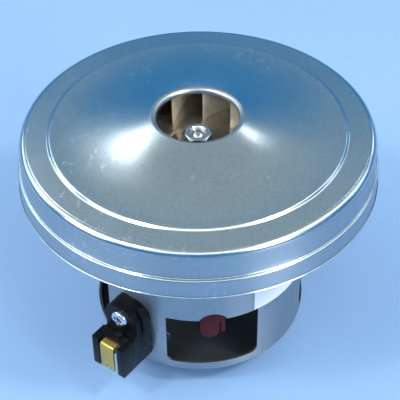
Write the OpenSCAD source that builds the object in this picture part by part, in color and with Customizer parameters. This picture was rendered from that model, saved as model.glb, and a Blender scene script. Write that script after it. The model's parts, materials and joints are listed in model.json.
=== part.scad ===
// Vacuum motor unit: a two-pole brushed motor in a drawn steel can, with a single-stage fan on top.
// The motor axis is Z, the base of the bearing boss is at z = 0, and the inlet eye faces up.
// Headings (in degrees) are measured round Z from the front, -Y, and are positive towards +X.

/* [Fan cover] */
// Outer radius of the skirt
skirt_r = 67.5; // [66:0.5:74]
// Height of the skirt up to its shoulder
skirt_h = 7.9; // [6.5:0.1:10]
// How far the wall above the shoulder is set in
shoulder_w = 1.7; // [1:0.1:2.2]
// Thickness of the cover sheet
cover_sheet = 0.8; // [0.6:0.1:1]
// Outer radius of the bend round the top plate
cover_corner = 3; // [2:0.1:4]
// How far the pressed step in the top plate lies outside the impeller
bead_out = 1.2; // [0.5:0.1:4]
// Width of the pressed step
bead_w = 1.5; // [1:0.1:3]
// Height of the pressed step
bead_h = 0.9; // [0.4:0.1:1.5]
// Rise of the crown from the step to the lip of the eye
crown_h = 5.9; // [4:0.1:8]
// Radius of the inlet eye
eye_r = 15.1; // [13:0.1:15.5]
// Radius of the rolled lip
lip_roll = 1.9; // [1.2:0.1:2]
// Depth of the lip, from its crest to its lower edge
lip_drop = 2; // [2:0.1:2.8]

/* [Motor housing] */
// Outer radius of the can
housing_r = 41.7; // [41:0.1:43]
// Thickness of the can sheet
housing_sheet = 1; // [0.8:0.1:1.2]
// Outer radius of the bend at the floor
housing_corner = 5.5; // [3:0.5:6.5]
// Diameter of the hole in the floor beside each brush
floor_hole_d = 5.6; // [4:0.1:6.4]
// Distance of that hole from the axis
floor_hole_r = 26.8; // [24:0.1:30]
// Height of the bearing boss below the floor
boss_h = 8; // [8:0.1:10]
// Width of the bearing's seat in the base of the boss
seat_w = 2.4; // [1.6:0.1:4]
// Room between the field coils' heads and the fan flange's upper face
head_room = 1.2; // [0.6:0.1:4]
// Height of the fan flange above the cover's lower edge
flange_rise = 1; // [0.5:0.1:1.5]
// Outer radius of the bend from the flange to its rim
flange_bend = 2; // [1.5:0.1:2.5]

/* [Air windows] */
// Heading of the front window's middle
window_angle = 6.5; // [4:0.5:8]
// Width of a window across its chord
window_w = 35.2; // [28:0.2:36]
// Height of a window's lower edge above the can's floor
window_rise = 7.2; // [6.6:0.1:10]
// Height of a window
window_h = 23.8; // [18:0.1:24]
// Radius of a window's lower corners
window_corner = 2.8; // [1.5:0.1:5]
// Width of the notch in the top edge of the pole windows
notch_w = 10.6; // [10.2:0.1:14]
// Height of that notch
notch_h = 3.3; // [2:0.1:4]

/* [Brush gear] */
// Heading of the left brush
brush_angle = -37.5; // [-40:0.5:-36]
// Width of a carbon brush
carbon_w = 6.2; // [5:0.1:6.4]
// Height of a carbon brush
carbon_h = 11.2; // [9:0.1:11.4]
// Length of a carbon brush
carbon_len = 22; // [16:0.5:25]
// Wall of the brush tube
tube_wall = 0.5; // [0.4:0.1:0.6]
// Gap from the commutator to the tube's inner end
tube_gap = 3; // [2.5:0.1:5]
// How far the tube stands out of the can
tube_out = 8.5; // [7:0.1:10]
// Width of the brush holder
holder_w = 15; // [14:0.1:15.6]
// Wall of the holder's box above and below the tube
box_wall = 1.55; // [1:0.05:2]
// How far the box reaches from its middle on the narrow side
box_side = 6.2; // [5.4:0.1:6.8]
// Wall of the holder behind the tube's end
holder_back = 1.1; // [1:0.1:2]
// Length of the connector cheeks
cheek_len = 6.7; // [6:0.1:9]
// How much lower than the box the cheeks end
cheek_drop = 0.9; // [0:0.1:1.2]
// Gap from the terminal tab to each cheek
connector_gap = 1.2; // [0.8:0.1:2]
// How far the holder's roof reaches over the connector
roof_len = 4.2; // [2:0.1:5]
// Thickness of that roof
roof_t = 1.4; // [1:0.1:1.5]
// Thickness of the screw lug at its middle
lug_t = 7.4; // [6:0.1:7.6]
// Height of the screw lug above the screw
lug_margin = 4.6; // [4:0.1:6]
// Radius of the lug's plain upper corner
lug_round = 4.5; // [1:0.1:5.5]
// Radius of the lug's upper corner on the side of its groove
lug_groove_round = 7; // [4:0.1:7.2]
// Thickness of the lug's plate in front of the groove
lug_plate_t = 2.4; // [1.5:0.1:3]
// Height of the holder screw above the box
lug_screw_rise = 5.9; // [5:0.1:7]
// How far the holder's neck reaches in from the can
neck_len = 11; // [10:0.1:13]
// Wall of the neck round the tube
neck_wall = 1.5; // [1.2:0.1:1.8]
// Diameter of the latch knob on the box
knob_d = 3; // [2:0.1:3.5]
// Height of the latch knob
knob_h = 1.2; // [0.8:0.1:2]
// Thickness of the terminal's brass sheet
terminal_t = 0.8; // [0.6:0.1:1]
// Width of the terminal tab
terminal_w = 6.4; // [4.8:0.1:6.5]
// Length of the hanging tab
terminal_h = 12.8; // [10:0.1:13]
// Reach of the terminal from the tube's end to the tab's face
terminal_reach = 8.3; // [7:0.1:8.6]
// Diameter of the spring wire
spring_wire = 0.9; // [0.6:0.1:1]
// Outer diameter of the brush spring
spring_d = 5.8; // [4:0.1:5.8]
// Turns of the brush spring
spring_turns = 8; // [5:1:9]

/* [Stator] */
// Gap between the commutator and the winding, for its leads
riser_gap = 5; // [3:0.1:7]
// Length of the stack
stack_len = 25; // [22:0.5:25]
// Air gap between the armature and the poles
air_gap = 0.6; // [0.4:0.1:0.8]
// Radial thickness of a pole shoe
shoe_t = 4; // [3:0.1:4.4]
// Half the angle of a pole shoe
shoe_half = 62; // [54:1:66]
// Width of a pole's neck
pole_w = 18; // [14:0.5:20]
// Thickness of the yoke at the stack's flats
flat_yoke = 4; // [3:0.1:6]
// Radial thickness of a field coil
coil_t = 8.5; // [6:0.1:9]
// Half the angle of a field coil
coil_half = 60; // [50:1:62]
// Height of a field coil's end turns
coil_head = 6.8; // [5:0.1:7]
// Clearance round a field coil
coil_gap = 0.7; // [0.4:0.1:0.9]
// Thickness of an end insulator
insulator_t = 1; // [0.8:0.1:1.2]
// Width of an insulator's tongue
tongue_w = 9.6; // [8:0.1:10]
// Length of the lower tongue below the stack
tongue_len = 18; // [14:0.1:19]
// Thickness of a tongue
tongue_t = 1.6; // [1:0.1:2]
// Length of the upper tongue above the stack
upper_tongue_len = 7; // [4:0.1:7.5]

/* [Armature] */
// Radius of the armature core
armature_r = 19.6; // [18:0.1:20]
// Number of armature slots and commutator bars
slot_count = 22; // [18:2:24]
// Radius of a slot
slot_r = 1.5; // [1.2:0.1:1.6]
// Depth of a slot's middle below the core's surface
slot_depth = 3.4; // [2.6:0.1:4]
// Width of a slot's mouth
slot_mouth = 1.4; // [0.8:0.1:1.8]
// Height of the lower winding head
lower_head = 8; // [5:0.1:8.6]
// Room between the upper winding head and the bearing cup
winding_room = 1.1; // [0.6:0.1:3]
// Radius of the commutator
commutator_r = 12; // [11:0.1:12.5]
// Height of the commutator's lower end above the can's floor
commutator_rise = 8; // [6:0.1:10]
// Length of the commutator bars
commutator_len = 16; // [14:0.1:17]
// Radial thickness of a bar
bar_t = 3.4; // [2.4:0.1:4]
// Gap between two bars
bar_gap = 0.6; // [0.4:0.1:0.8]
// How far a bar's hook stands out
hook_h = 1.2; // [0.8:0.1:1.6]
// Length of a bar's hook
hook_len = 1.6; // [1:0.1:2]

/* [Shaft and bearings] */
// Radius of the shaft between the bearings
shaft_r = 5; // [4.6:0.1:5.4]
// Radius of a bearing's bore
bearing_bore = 4; // [3.5:0.1:4.2]
// Outer radius of a bearing
bearing_r = 11; // [11:0.1:11.5]
// Width of a bearing
bearing_w = 7; // [6.8:0.1:7]
// Thickness of a bearing ring under its groove
race_wall = 1.45; // [1.2:0.05:1.6]
// Depth of the groove in a bearing ring
groove_depth = 0.35; // [0.2:0.05:0.5]
// Balls in a bearing
ball_count = 7; // [6:1:7]
// How far the upper bearing's lower face lies below the fan flange's underside
upper_bearing_drop = 1; // [0.6:0.1:1.2]
// Radius of the thread at the shaft's top
thread_r = 3; // [2.5:0.1:3.2]

/* [Bearing bridge] */
// Length of the bridge beyond its screws
bridge_ear = 5.5; // [4:0.1:6]
// Width of the bridge
bridge_w = 27; // [26:0.5:32]
// Thickness of the bridge
bridge_t = 1.5; // [1.2:0.1:1.8]
// Wall of the bearing cup
cup_wall = 1.4; // [1:0.1:2]
// Distance from the can's wall to the bridge screws
bridge_screw_out = 4.8; // [4.4:0.1:6]
// Distance between the screws across the bridge
bridge_screw_gap = 16; // [12:0.5:18]

/* [Diffuser] */
// Height of the return channel under the plate
return_h = 6; // [6:0.1:6.5]
// Thickness of the diffuser plate
diffuser_t = 1.4; // [1.2:0.1:1.6]
// Radius of the hole in the plate
diffuser_hole_r = 13.4; // [12.8:0.1:15]
// Gap from the plate's edge to the cover
diffuser_edge_gap = 3.4; // [2:0.1:4]
// Gap from the vanes to the cover
vane_edge_gap = 1.6; // [1.4:0.1:2]
// Radial width of the ring of guide vanes
guide_w = 8.8; // [6:0.1:10]
// Gap from the impeller to the guide vanes
guide_gap = 1.6; // [1:0.1:3]
// Number of guide vanes
guide_count = 13; // [9:1:15]
// Number of return vanes
return_count = 12; // [8:1:14]
// Thickness of a vane
vane_t = 1.4; // [1:0.1:2]
// Distance of a diffuser screw from the axis
diffuser_screw_r = 30; // [26:0.5:34]

/* [Impeller] */
// Height of the blades at the impeller's edge
outlet_h = 6.6; // [5:0.1:9]
// Thickness of the impeller sheet
fan_sheet = 0.8; // [0.6:0.1:1]
// Gap between the diffuser plate and the impeller
fan_floor_gap = 0.6; // [0.5:0.1:1]
// Gap between the impeller and the cover
fan_top_gap = 1.6; // [1:0.1:2]
// Gap between the cover's eye and the impeller's own eye
fan_eye_gap = 1.3; // [0.8:0.1:3]
// Number of blades
blade_count = 9; // [7:1:11]
// Angle that a blade sweeps back
blade_sweep = 55; // [40:1:65]
// Radius of a blade's curve
blade_curve = 42; // [36:1:60]
// Radius of the clamping washer
clamp_r = 11; // [9:0.5:12]
// Thickness of the clamping washer
clamp_t = 1.5; // [1:0.1:2.5]
// Thickness of the lock washer
lock_t = 0.8; // [0.6:0.1:2]
// Nut size across flats
nut_flats = 10; // [9:0.1:11]
// Height of the nut
nut_h = 5.2; // [4:0.1:5.6]

/* [Fasteners and label] */
// Radius of the holder screw
holder_screw_r = 1.75; // [1.5:0.05:2]
// Length of the holder screw under its head
holder_screw_len = 11.5; // [10:0.1:12]
// Radius of the holder screw's head
holder_head_r = 3.5; // [3:0.1:4]
// Height of the holder screw's head
holder_head_h = 2.2; // [1.8:0.1:2.6]
// Radius of the bridge and diffuser screws
small_screw_r = 1.5; // [1.2:0.05:1.7]
// Radius of the bridge and diffuser screws' heads
small_head_r = 2.9; // [2.4:0.1:3.1]
// Height of a bridge screw's head
small_head_h = 2; // [1.6:0.1:2.4]
// Heading of the label's left edge
label_angle = 29; // [28:0.5:34]
// Angle that the label covers
label_sweep = 52; // [40:1:60]
// Gap from the windows' upper edge to the label
label_gap = 0.3; // [0.2:0.1:5]
// Height of the label
label_h = 29; // [20:0.5:32]
// Thickness of the label
label_t = 0.15; // [0.1:0.05:0.2]

/* [Clearances] */
// Radial clearance of a press fit or a seated piece
seat_fit = 0.03; // [0.02:0.01:0.05]
// Clearance of a loosely fitted piece
loose_fit = 0.1; // [0.05:0.01:0.15]
// Clearance round a sliding brush
slide_fit = 0.1; // [0.08:0.01:0.12]
// Clearance round a bearing ball
ball_fit = 0.07; // [0.05:0.01:0.09]

/* [Hidden] */
$fn = 96;

// Half a turn: the second brush, pole and window lie opposite the first
opposite = 180;
quarter = 90;
arc_steps = 8;
// Overlap of a cut or a join with what it meets
cut = 1;

// Can and its floor
can_bore = housing_r - housing_sheet;
wall_reach = 5;
boss_r = bearing_r + seat_fit + housing_sheet;
boss_hole_r = bearing_r - seat_w;
boss_round = housing_sheet;
floor_top = boss_h + housing_sheet;
window_z = boss_h + window_rise;
window_top = window_z + window_h;
notch_r = (pow(notch_w / 2, 2) + pow(notch_h, 2)) / (2 * notch_h);
label_z = window_top + label_gap;
label_r = housing_r + seat_fit;

// Balls, rings and cages of both bearings
pitch_r = (bearing_bore + bearing_r) / 2;
ball_r = (bearing_r - bearing_bore) / 2 - race_wall - ball_fit;
groove_r = ball_r + ball_fit;
ring_wall = race_wall + groove_depth;
cage_half_w = 0.7;
cage_edge = 0.5;
cage_half_h = groove_r + cage_edge;
lower_bearing_z = housing_sheet;

// Commutator
commutator_z = floor_top + commutator_rise;
commutator_top = commutator_z + commutator_len;
hub_r = commutator_r - bar_t - seat_fit;
hub_over = 1.2;
bar_angle = 360 / slot_count;
bar_half = (bar_angle - bar_gap / commutator_r * 180 / PI) / 2;

// Brush gear, in a frame that looks outward along the brush
brush_z = commutator_z + commutator_len / 2;
tube_w = carbon_w + 2 * slide_fit + 2 * tube_wall;
tube_h = carbon_h + 2 * slide_fit + 2 * tube_wall;
tube_start = commutator_r + tube_gap;
tube_end = housing_r + tube_out;
carbon_start = commutator_r + slide_fit;
carbon_end = carbon_start + carbon_len;
box_z = brush_z - tube_h / 2 - box_wall;
box_top = brush_z + tube_h / 2 + box_wall;
box_end = tube_end + holder_back;
cheek_end = box_end + cheek_len;
cheek_t = (holder_w - terminal_w) / 2 - connector_gap;
neck_w = tube_w + 2 * neck_wall;
neck_h = tube_h + neck_wall;
neck_start = housing_r - neck_len;
floor_hole_turn = 3;
knob_r = box_end + knob_d / 3;
knob_side = 1.7;
lug_groove_w = 1.4;
lug_groove_depth = 3;
lug_face = housing_r + lug_t;
lug_screw_z = box_top + lug_screw_rise;
lug_top = lug_screw_z + lug_margin;
terminal_start = tube_end + loose_fit;
terminal_end = terminal_start + terminal_reach;
terminal_top = box_top - roof_t - loose_fit;
terminal_notch_w = 1.2;
terminal_notch_h = 2.2;
terminal_short = 1;

// Brush spring
spring_start = carbon_end + loose_fit;
spring_end = tube_end - loose_fit;
spring_len = spring_end - spring_start;
spring_r = (spring_d - spring_wire) / 2;
spring_rings = 16;
spring_sides = 6;

// Stator
pole_angle = window_angle;
stack_z = commutator_top + riser_gap + lower_head;
stack_top = stack_z + stack_len;
stack_r = can_bore - seat_fit;
bore_r = armature_r + air_gap;
shoe_r = bore_r + shoe_t;
coil_in = shoe_r + coil_gap;
coil_out = coil_in + coil_t;
yoke_r = coil_out + coil_gap;
coil_leg_start = asin((pole_w / 2 + coil_gap) / coil_in);
insulator_set_back = 0.4;
open_margin = 1;
tongue_gap = 0.6;
tongue_r = can_bore - tongue_gap - tongue_t;
tongue_slot_w = 0.5;
tongue_slot_y = 2.8;
tongue_slot_len = 8;
tongue_short = 2.6;
inner_tongue_half = 20;

// Fan flange on the can
flange_top = stack_top + insulator_t + coil_head + head_room;
flange_z = flange_top - housing_sheet;
skirt_z = flange_z - flange_rise;
shoulder_z = skirt_z + skirt_h;
rim_r = skirt_r - cover_sheet - loose_fit;
rim_top = shoulder_z - cover_sheet - loose_fit;

// Upper bearing and its bridge
upper_bearing_z = flange_z - upper_bearing_drop;
upper_bearing_top = upper_bearing_z + bearing_w;
cup_r = bearing_r + seat_fit + cup_wall;
cup_floor_z = upper_bearing_z - bridge_t;
bridge_angle = pole_angle + quarter;
bridge_screw_span = 2 * (housing_r + bridge_screw_out);
bridge_len = bridge_screw_span + 2 * bridge_ear;
bridge_z = flange_top;
bridge_top = bridge_z + bridge_t;

// Diffuser, with the fan inside its ring of guide vanes
drum_r = skirt_r - shoulder_w;
diffuser_r = drum_r - cover_sheet - diffuser_edge_gap;
vane_end = drum_r - cover_sheet - vane_edge_gap;
guide_start = vane_end - guide_w;
guide_sweep = 14;
return_gap = 0.6;
return_start = norm([bridge_len, bridge_w]) / 2 + return_gap;
return_sweep = 16;
return_foot = flange_top + loose_fit;
plate_low = flange_top + return_h;
plate_top = plate_low + diffuser_t;
boss_wall = 2.2;

// Impeller and what clamps it
fan_r = guide_start - guide_gap;
fan_eye_r = eye_r + cover_sheet + fan_eye_gap;
fan_z = plate_top + fan_floor_gap;
fan_top = fan_z + fan_sheet;
blade_in = 2;
blade_turn = 3.3;
blade_start = fan_eye_r;
blade_set_in = 0.6;
blade_end = fan_r - blade_set_in;
spacer_r = 7;
lock_r = 6;
clamp_top = fan_top + clamp_t;
lock_top = clamp_top + lock_t;
nut_top = lock_top + nut_h;
nut_rim = 0.33;
nut_slope = 30;
nut_sides = 6;

// Cover
shoulder_round = cover_sheet;
plate_z = fan_top + outlet_h + fan_sheet + fan_top_gap + cover_sheet - bead_h;
guide_room = 0.5;
guide_top = plate_z - cover_sheet - guide_room;
bead_r = fan_r + bead_out;
crown_base_z = plate_z + bead_h;
crest_z = crown_base_z + crown_h;
crest_r = eye_r + lip_roll;
lip_blend = 0.4;
crown_start = crest_r + lip_blend;
crown_steps = 20;

// Shaft
journal_r = bearing_bore - seat_fit;
shaft_set_in = 0.3;
shaft_z = lower_bearing_z + shaft_set_in;
shaft_top = nut_top - loose_fit;
shaft_dome = 0.8;
edge_bevel = 0.4;
clamp_grip = 0.2;

// Armature winding
head_set_in = 1.2;
head_r = armature_r - head_set_in;
head_bore_gap = 1;
head_in = shaft_r + head_bore_gap;
lower_bevel = 4;
upper_bevel = 2;
slot_mid = armature_r - slot_depth;

// Screws
screw_over = 1.2;
screw_bevel = 0.5;
recess_len = 4;
recess_w = 0.9;

// Points along an arc
function arc(x, y, r, from, to, steps = arc_steps) =
    [for (i = [0:steps]) let (a = from + (to - from) * i / steps) [x + r * cos(a), y + r * sin(a)]];

// Height of the crown's outer face at a radius
function crown_z(r) = crown_base_z + crown_h * pow(max(0, bead_r - r) / (bead_r - crest_r), 2);

// Outer face of the pressed step, from its inner to its outer edge
function bead_points(drop) =
    [for (i = [0:arc_steps]) let (u = i / arc_steps)
        [bead_r + bead_w * u, plate_z + bead_h * (1 + cos(180 * u)) / 2 - drop]];

// Outer face of the crown, from near the lip to the pressed step
function crown_points(drop) =
    [for (i = [0:crown_steps - 1]) let (r = crown_start + (bead_r - crown_start) * i / crown_steps)
        [r, crown_z(r) - drop]];

function reversed(list) = [for (i = [len(list) - 1:-1:0]) list[i]];

// Turns its children to a heading, so that their +X looks outward there
module around(heading) {
    rotate([0, 0, heading - quarter]) children();
}

// Both of a pair half a turn apart
module both() {
    for (turn = [0, opposite])
        rotate([0, 0, turn]) children();
}

// Extrudes an outline that is drawn across and up, from one distance along +X to another
module outward(from, to) {
    translate([from, 0, 0])
        rotate([quarter, 0, quarter])
            linear_extrude(to - from) children();
}

// A block by its lengths along +X, across and up
module block(from, to, width, low, high) {
    translate([from, -width / 2, low])
        cube([to - from, width, high - low]);
}

// A plain ring round Z
module ring(inner, outer, low, high) {
    rotate_extrude()
        translate([inner, low])
            square([outer - inner, high - low]);
}

// Part of a ring, spread evenly about +X
module sector(inner, outer, half, low, high) {
    rotate([0, 0, -half])
        rotate_extrude(angle = 2 * half)
            translate([inner, low])
                square([outer - inner, high - low]);
}

// A strip of one curve between two radii that sweeps clockwise on its way out
module swept_strip(from, to, sweep, curve, thick) {
    start = [from, 0];
    end = to * [cos(sweep), -sin(sweep)];
    chord = norm(end - start);
    along = (end - start) / chord;
    side = [-along[1], along[0]];
    centre = (start + end) / 2 - side * sqrt(curve * curve - chord * chord / 4);
    intersection() {
        translate(centre)
            difference() {
                circle(curve + thick / 2);
                circle(curve - thick / 2);
            }
        translate(start)
            rotate(atan2(along[1], along[0]))
                translate([0, -curve / 2])
                    square([chord, curve]);
    }
}

module fan_cover() {
    inner_r = drum_r - cover_sheet;
    points = concat(
        [[eye_r, crest_z - lip_drop]],
        arc(crest_r, crest_z - lip_roll, lip_roll, 180, 90),
        crown_points(0),
        bead_points(0),
        arc(drum_r - cover_corner, plate_z - cover_corner, cover_corner, 90, 0),
        [[drum_r, shoulder_z]],
        arc(skirt_r - shoulder_round, shoulder_z - shoulder_round, shoulder_round, 90, 0),
        [[skirt_r, skirt_z], [skirt_r - cover_sheet, skirt_z]],
        [[skirt_r - cover_sheet, shoulder_z - cover_sheet], [inner_r, shoulder_z - cover_sheet]],
        arc(drum_r - cover_corner, plate_z - cover_corner, cover_corner - cover_sheet, 0, 90),
        reversed(bead_points(cover_sheet)),
        reversed(crown_points(cover_sheet)),
        arc(crest_r, crest_z - lip_roll, lip_roll - cover_sheet, 90, 180),
        [[eye_r + cover_sheet, crest_z - lip_drop]]
    );
    color("lightsteelblue")
        rotate_extrude()
            polygon(points);
}

// Outline of a window, drawn about its middle, with round lower corners
module window_outline(notched) {
    half = window_w / 2;
    polygon(concat(
        [[half, window_top], [-half, window_top]],
        arc(window_corner - half, window_z + window_corner, window_corner, 180, 270),
        arc(half - window_corner, window_z + window_corner, window_corner, 270, 360)
    ));
    if (notched)
        translate([0, window_top + notch_h - notch_r])
            circle(notch_r);
}

module housing_shell() {
    points = concat(
        [[boss_hole_r, 0]],
        arc(boss_r - boss_round, boss_round, boss_round, -90, 0),
        [[boss_r, boss_h]],
        arc(housing_r - housing_corner, boss_h + housing_corner, housing_corner, -90, 0),
        [[housing_r, flange_z]],
        arc(rim_r - flange_bend, flange_z + flange_bend, flange_bend, -90, 0),
        [[rim_r, rim_top], [rim_r - housing_sheet, rim_top]],
        arc(rim_r - flange_bend, flange_z + flange_bend, flange_bend - housing_sheet, 0, -90),
        [[can_bore, flange_top]],
        arc(housing_r - housing_corner, boss_h + housing_corner, housing_corner - housing_sheet, 0, -90),
        [[boss_r - housing_sheet, floor_top], [boss_r - housing_sheet, housing_sheet]],
        [[boss_hole_r, housing_sheet]]
    );
    rotate_extrude()
        polygon(points);
}

module motor_housing() {
    wall_in = can_bore - wall_reach;
    wall_out = housing_r + cut;
    color("silver")
        difference() {
            housing_shell();
            for (i = [0:3])
                around(window_angle + i * quarter)
                    outward(wall_in, wall_out)
                        window_outline(i % 2 == 0);
            both()
                around(brush_angle) {
                    block(wall_in, wall_out, neck_w + 2 * loose_fit, brush_z - neck_h / 2 - loose_fit,
                        brush_z + neck_h / 2 + loose_fit);
                    outward(wall_in, wall_out)
                        translate([0, lug_screw_z])
                            circle(holder_screw_r + seat_fit);
                }
            both()
                around(brush_angle + floor_hole_turn)
                    translate([floor_hole_r, 0, boss_h - cut])
                        cylinder(d = floor_hole_d, h = housing_sheet + 2 * cut);
            bridge_screw_places()
                translate([0, 0, flange_z - cut])
                    cylinder(r = small_screw_r + seat_fit, h = housing_sheet + 2 * cut);
        }
}

// Puts its children at the four screws of the bridge
module bridge_screw_places() {
    around(bridge_angle)
        for (x = [-1, 1], y = [-1, 1])
            translate([x * bridge_screw_span / 2, y * bridge_screw_gap / 2, 0])
                children();
}

// Puts its children at the two screws of the diffuser
module diffuser_screw_places() {
    around(bridge_angle)
        for (x = [-1, 1])
            translate([x * diffuser_screw_r, 0, 0])
                children();
}

module bearing_bridge() {
    color("gray")
        difference() {
            union() {
                around(bridge_angle)
                    block(-bridge_len / 2, bridge_len / 2, bridge_w, bridge_z, bridge_top);
                translate([0, 0, cup_floor_z])
                    cylinder(r = cup_r, h = upper_bearing_top - cup_floor_z);
            }
            translate([0, 0, upper_bearing_z])
                cylinder(r = bearing_r + seat_fit, h = bearing_w + cut);
            translate([0, 0, cup_floor_z - cut])
                cylinder(r = boss_hole_r, h = bridge_t + 2 * cut);
            bridge_screw_places()
                translate([0, 0, bridge_z - cut])
                    cylinder(r = small_screw_r + loose_fit, h = bridge_t + 2 * cut);
            diffuser_screw_places()
                translate([0, 0, bridge_z - cut])
                    cylinder(r = small_screw_r + seat_fit, h = bridge_t + 2 * cut);
        }
}

module bridge_screws() {
    tip = flange_z - screw_over;
    dome = small_head_h / 2;
    points = concat(
        [[0, tip], [small_screw_r - screw_bevel, tip]],
        [[small_screw_r, tip + screw_bevel], [small_screw_r, bridge_top]],
        [[small_head_r, bridge_top], [small_head_r, bridge_top + small_head_h - dome]],
        [[small_head_r - dome, bridge_top + small_head_h], [0, bridge_top + small_head_h]]
    );
    color("gainsboro")
        bridge_screw_places()
            rotate_extrude()
                polygon(points);
}

module diffuser() {
    color("dimgray")
        difference() {
            union() {
                ring(diffuser_hole_r, diffuser_r, plate_low, plate_top);
                for (i = [0:guide_count - 1])
                    rotate([0, 0, i * 360 / guide_count])
                        translate([0, 0, plate_low])
                            linear_extrude(guide_top - plate_low)
                                swept_strip(guide_start, vane_end, -guide_sweep, fan_r, vane_t);
                for (i = [0:return_count - 1])
                    rotate([0, 0, i * 360 / return_count])
                        translate([0, 0, return_foot])
                            linear_extrude(plate_top - return_foot)
                                swept_strip(return_start, vane_end, return_sweep, fan_r, vane_t);
                diffuser_screw_places()
                    translate([0, 0, bridge_top])
                        cylinder(r = small_screw_r + boss_wall, h = plate_low - bridge_top + cut / 2);
            }
            diffuser_screw_places() {
                translate([0, 0, bridge_top - cut])
                    cylinder(r = small_screw_r + loose_fit, h = plate_top - bridge_top + 2 * cut);
                translate([0, 0, plate_top])
                    sunk_head(loose_fit);
            }
        }
}

// A countersunk head below z = 0, or its sink with a clearance
module sunk_head(clearance) {
    depth = small_head_r - small_screw_r;
    translate([0, 0, -depth])
        cylinder(r1 = small_screw_r + clearance, r2 = small_head_r + clearance, h = depth);
}

module diffuser_screws() {
    tip = bridge_z - screw_over;
    color("gainsboro")
        diffuser_screw_places() {
            translate([0, 0, tip])
                cylinder(r = small_screw_r, h = plate_top - tip - loose_fit);
            translate([0, 0, plate_top - loose_fit])
                sunk_head(0);
        }
}

module bearing_outer_ring(low) {
    color("lightgray")
        difference() {
            ring(bearing_r - ring_wall, bearing_r, low, low + bearing_w);
            ball_track(low);
        }
}

module bearing_inner_ring(low) {
    color("lightgray")
        difference() {
            ring(bearing_bore, bearing_bore + ring_wall, low, low + bearing_w);
            ball_track(low);
        }
}

// The space that the balls sweep
module ball_track(low) {
    translate([0, 0, low + bearing_w / 2])
        rotate_extrude()
            translate([pitch_r, 0])
                circle(groove_r);
}

// Puts its children at the middle of each ball
module ball_places(low) {
    for (i = [0:ball_count - 1])
        rotate([0, 0, i * 360 / ball_count])
            translate([pitch_r, 0, low + bearing_w / 2])
                children();
}

module bearing_balls(low) {
    color("white")
        ball_places(low)
            sphere(ball_r);
}

module bearing_cage(low) {
    middle = low + bearing_w / 2;
    color("goldenrod")
        difference() {
            ring(pitch_r - cage_half_w, pitch_r + cage_half_w, middle - cage_half_h, middle + cage_half_h);
            ball_places(low)
                sphere(groove_r);
        }
}

module stator_outline() {
    difference() {
        union() {
            difference() {
                intersection() {
                    circle(stack_r);
                    square(2 * [stack_r, yoke_r + flat_yoke], center = true);
                }
                circle(yoke_r);
            }
            both() {
                translate([bore_r, -pole_w / 2])
                    square([yoke_r - bore_r + cut, pole_w]);
                intersection() {
                    circle(shoe_r);
                    polygon([[0, 0], [shoe_r, -shoe_r * tan(shoe_half)], [shoe_r, shoe_r * tan(shoe_half)]]);
                }
            }
        }
        circle(bore_r);
    }
}

module stator_core() {
    color("slategray")
        around(pole_angle)
            translate([0, 0, stack_z])
                linear_extrude(stack_len)
                    stator_outline();
}

// A field coil: it runs round its pole and turns over above and below the stack
module field_coil(heading) {
    low = stack_z - insulator_t;
    high = stack_top + insulator_t;
    color("chocolate")
        around(heading)
            difference() {
                sector(coil_in, coil_out, coil_half, low - coil_head, high + coil_head);
                sector(coil_in - cut, coil_out + cut, coil_leg_start, low - loose_fit, high + loose_fit);
            }
}

// The flat part of an end insulator, which lies on one end of the stack
module insulator_plate(low) {
    high = low + insulator_t;
    open_half = (quarter - coil_leg_start) / 2 + open_margin;
    difference() {
        ring(bore_r + insulator_set_back, tongue_r + tongue_t, low, high);
        for (turn = [0, opposite], side = [-1, 1])
            rotate([0, 0, turn + side * (quarter + coil_leg_start) / 2])
                sector(shoe_r - loose_fit, yoke_r + loose_fit, open_half, low - cut, high + cut);
    }
}

// The tongue outline, drawn across and up, hanging from the stack: a broad lobe, a slot and a short lobe
module tongue_outline() {
    half = tongue_w / 2;
    low = stack_z - tongue_len;
    lobe_end = tongue_slot_y - tongue_slot_w / 2;
    lobe_r = (lobe_end + half) / 2;
    short_start = tongue_slot_y + tongue_slot_w / 2;
    translate([lobe_r - half, low + lobe_r])
        circle(lobe_r);
    translate([-half, low + lobe_r])
        square([2 * lobe_r, tongue_len - lobe_r]);
    translate([short_start, low + tongue_short])
        square([half - short_start, tongue_len - tongue_short]);
    translate([-half, low + tongue_slot_len])
        square([tongue_w, tongue_len - tongue_slot_len]);
}

module lower_stator_insulator() {
    color([0.38, 0.12, 0.16])
        around(pole_angle) {
            insulator_plate(stack_z - insulator_t);
            both() {
                outward(tongue_r, tongue_r + tongue_t)
                    tongue_outline();
                sector(shoe_r - tongue_t, shoe_r - loose_fit, inner_tongue_half,
                    stack_z - insulator_t - coil_head, stack_z);
            }
        }
}

module upper_stator_insulator() {
    color([0.38, 0.12, 0.16])
        around(pole_angle) {
            insulator_plate(stack_top);
            both() {
                block(tongue_r, tongue_r + tongue_t, tongue_w, stack_top, stack_top + upper_tongue_len);
                sector(shoe_r - tongue_t, shoe_r - loose_fit, inner_tongue_half,
                    stack_top, stack_top + insulator_t + coil_head);
            }
        }
}

module shaft() {
    thread_z = clamp_top - clamp_grip;
    points = [
        [0, shaft_z], [journal_r - edge_bevel, shaft_z], [journal_r, shaft_z + edge_bevel],
        [journal_r, lower_bearing_z + bearing_w], [shaft_r, lower_bearing_z + bearing_w],
        [shaft_r, upper_bearing_z], [journal_r, upper_bearing_z], [journal_r, thread_z],
        [thread_r, thread_z], [thread_r, shaft_top - shaft_dome],
        [thread_r - shaft_dome, shaft_top], [0, shaft_top]
    ];
    color("lightgray")
        rotate_extrude()
            polygon(points);
}

// Puts its children at each armature slot
module slot_places() {
    for (i = [0:slot_count - 1])
        rotate([0, 0, i * bar_angle])
            children();
}

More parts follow.
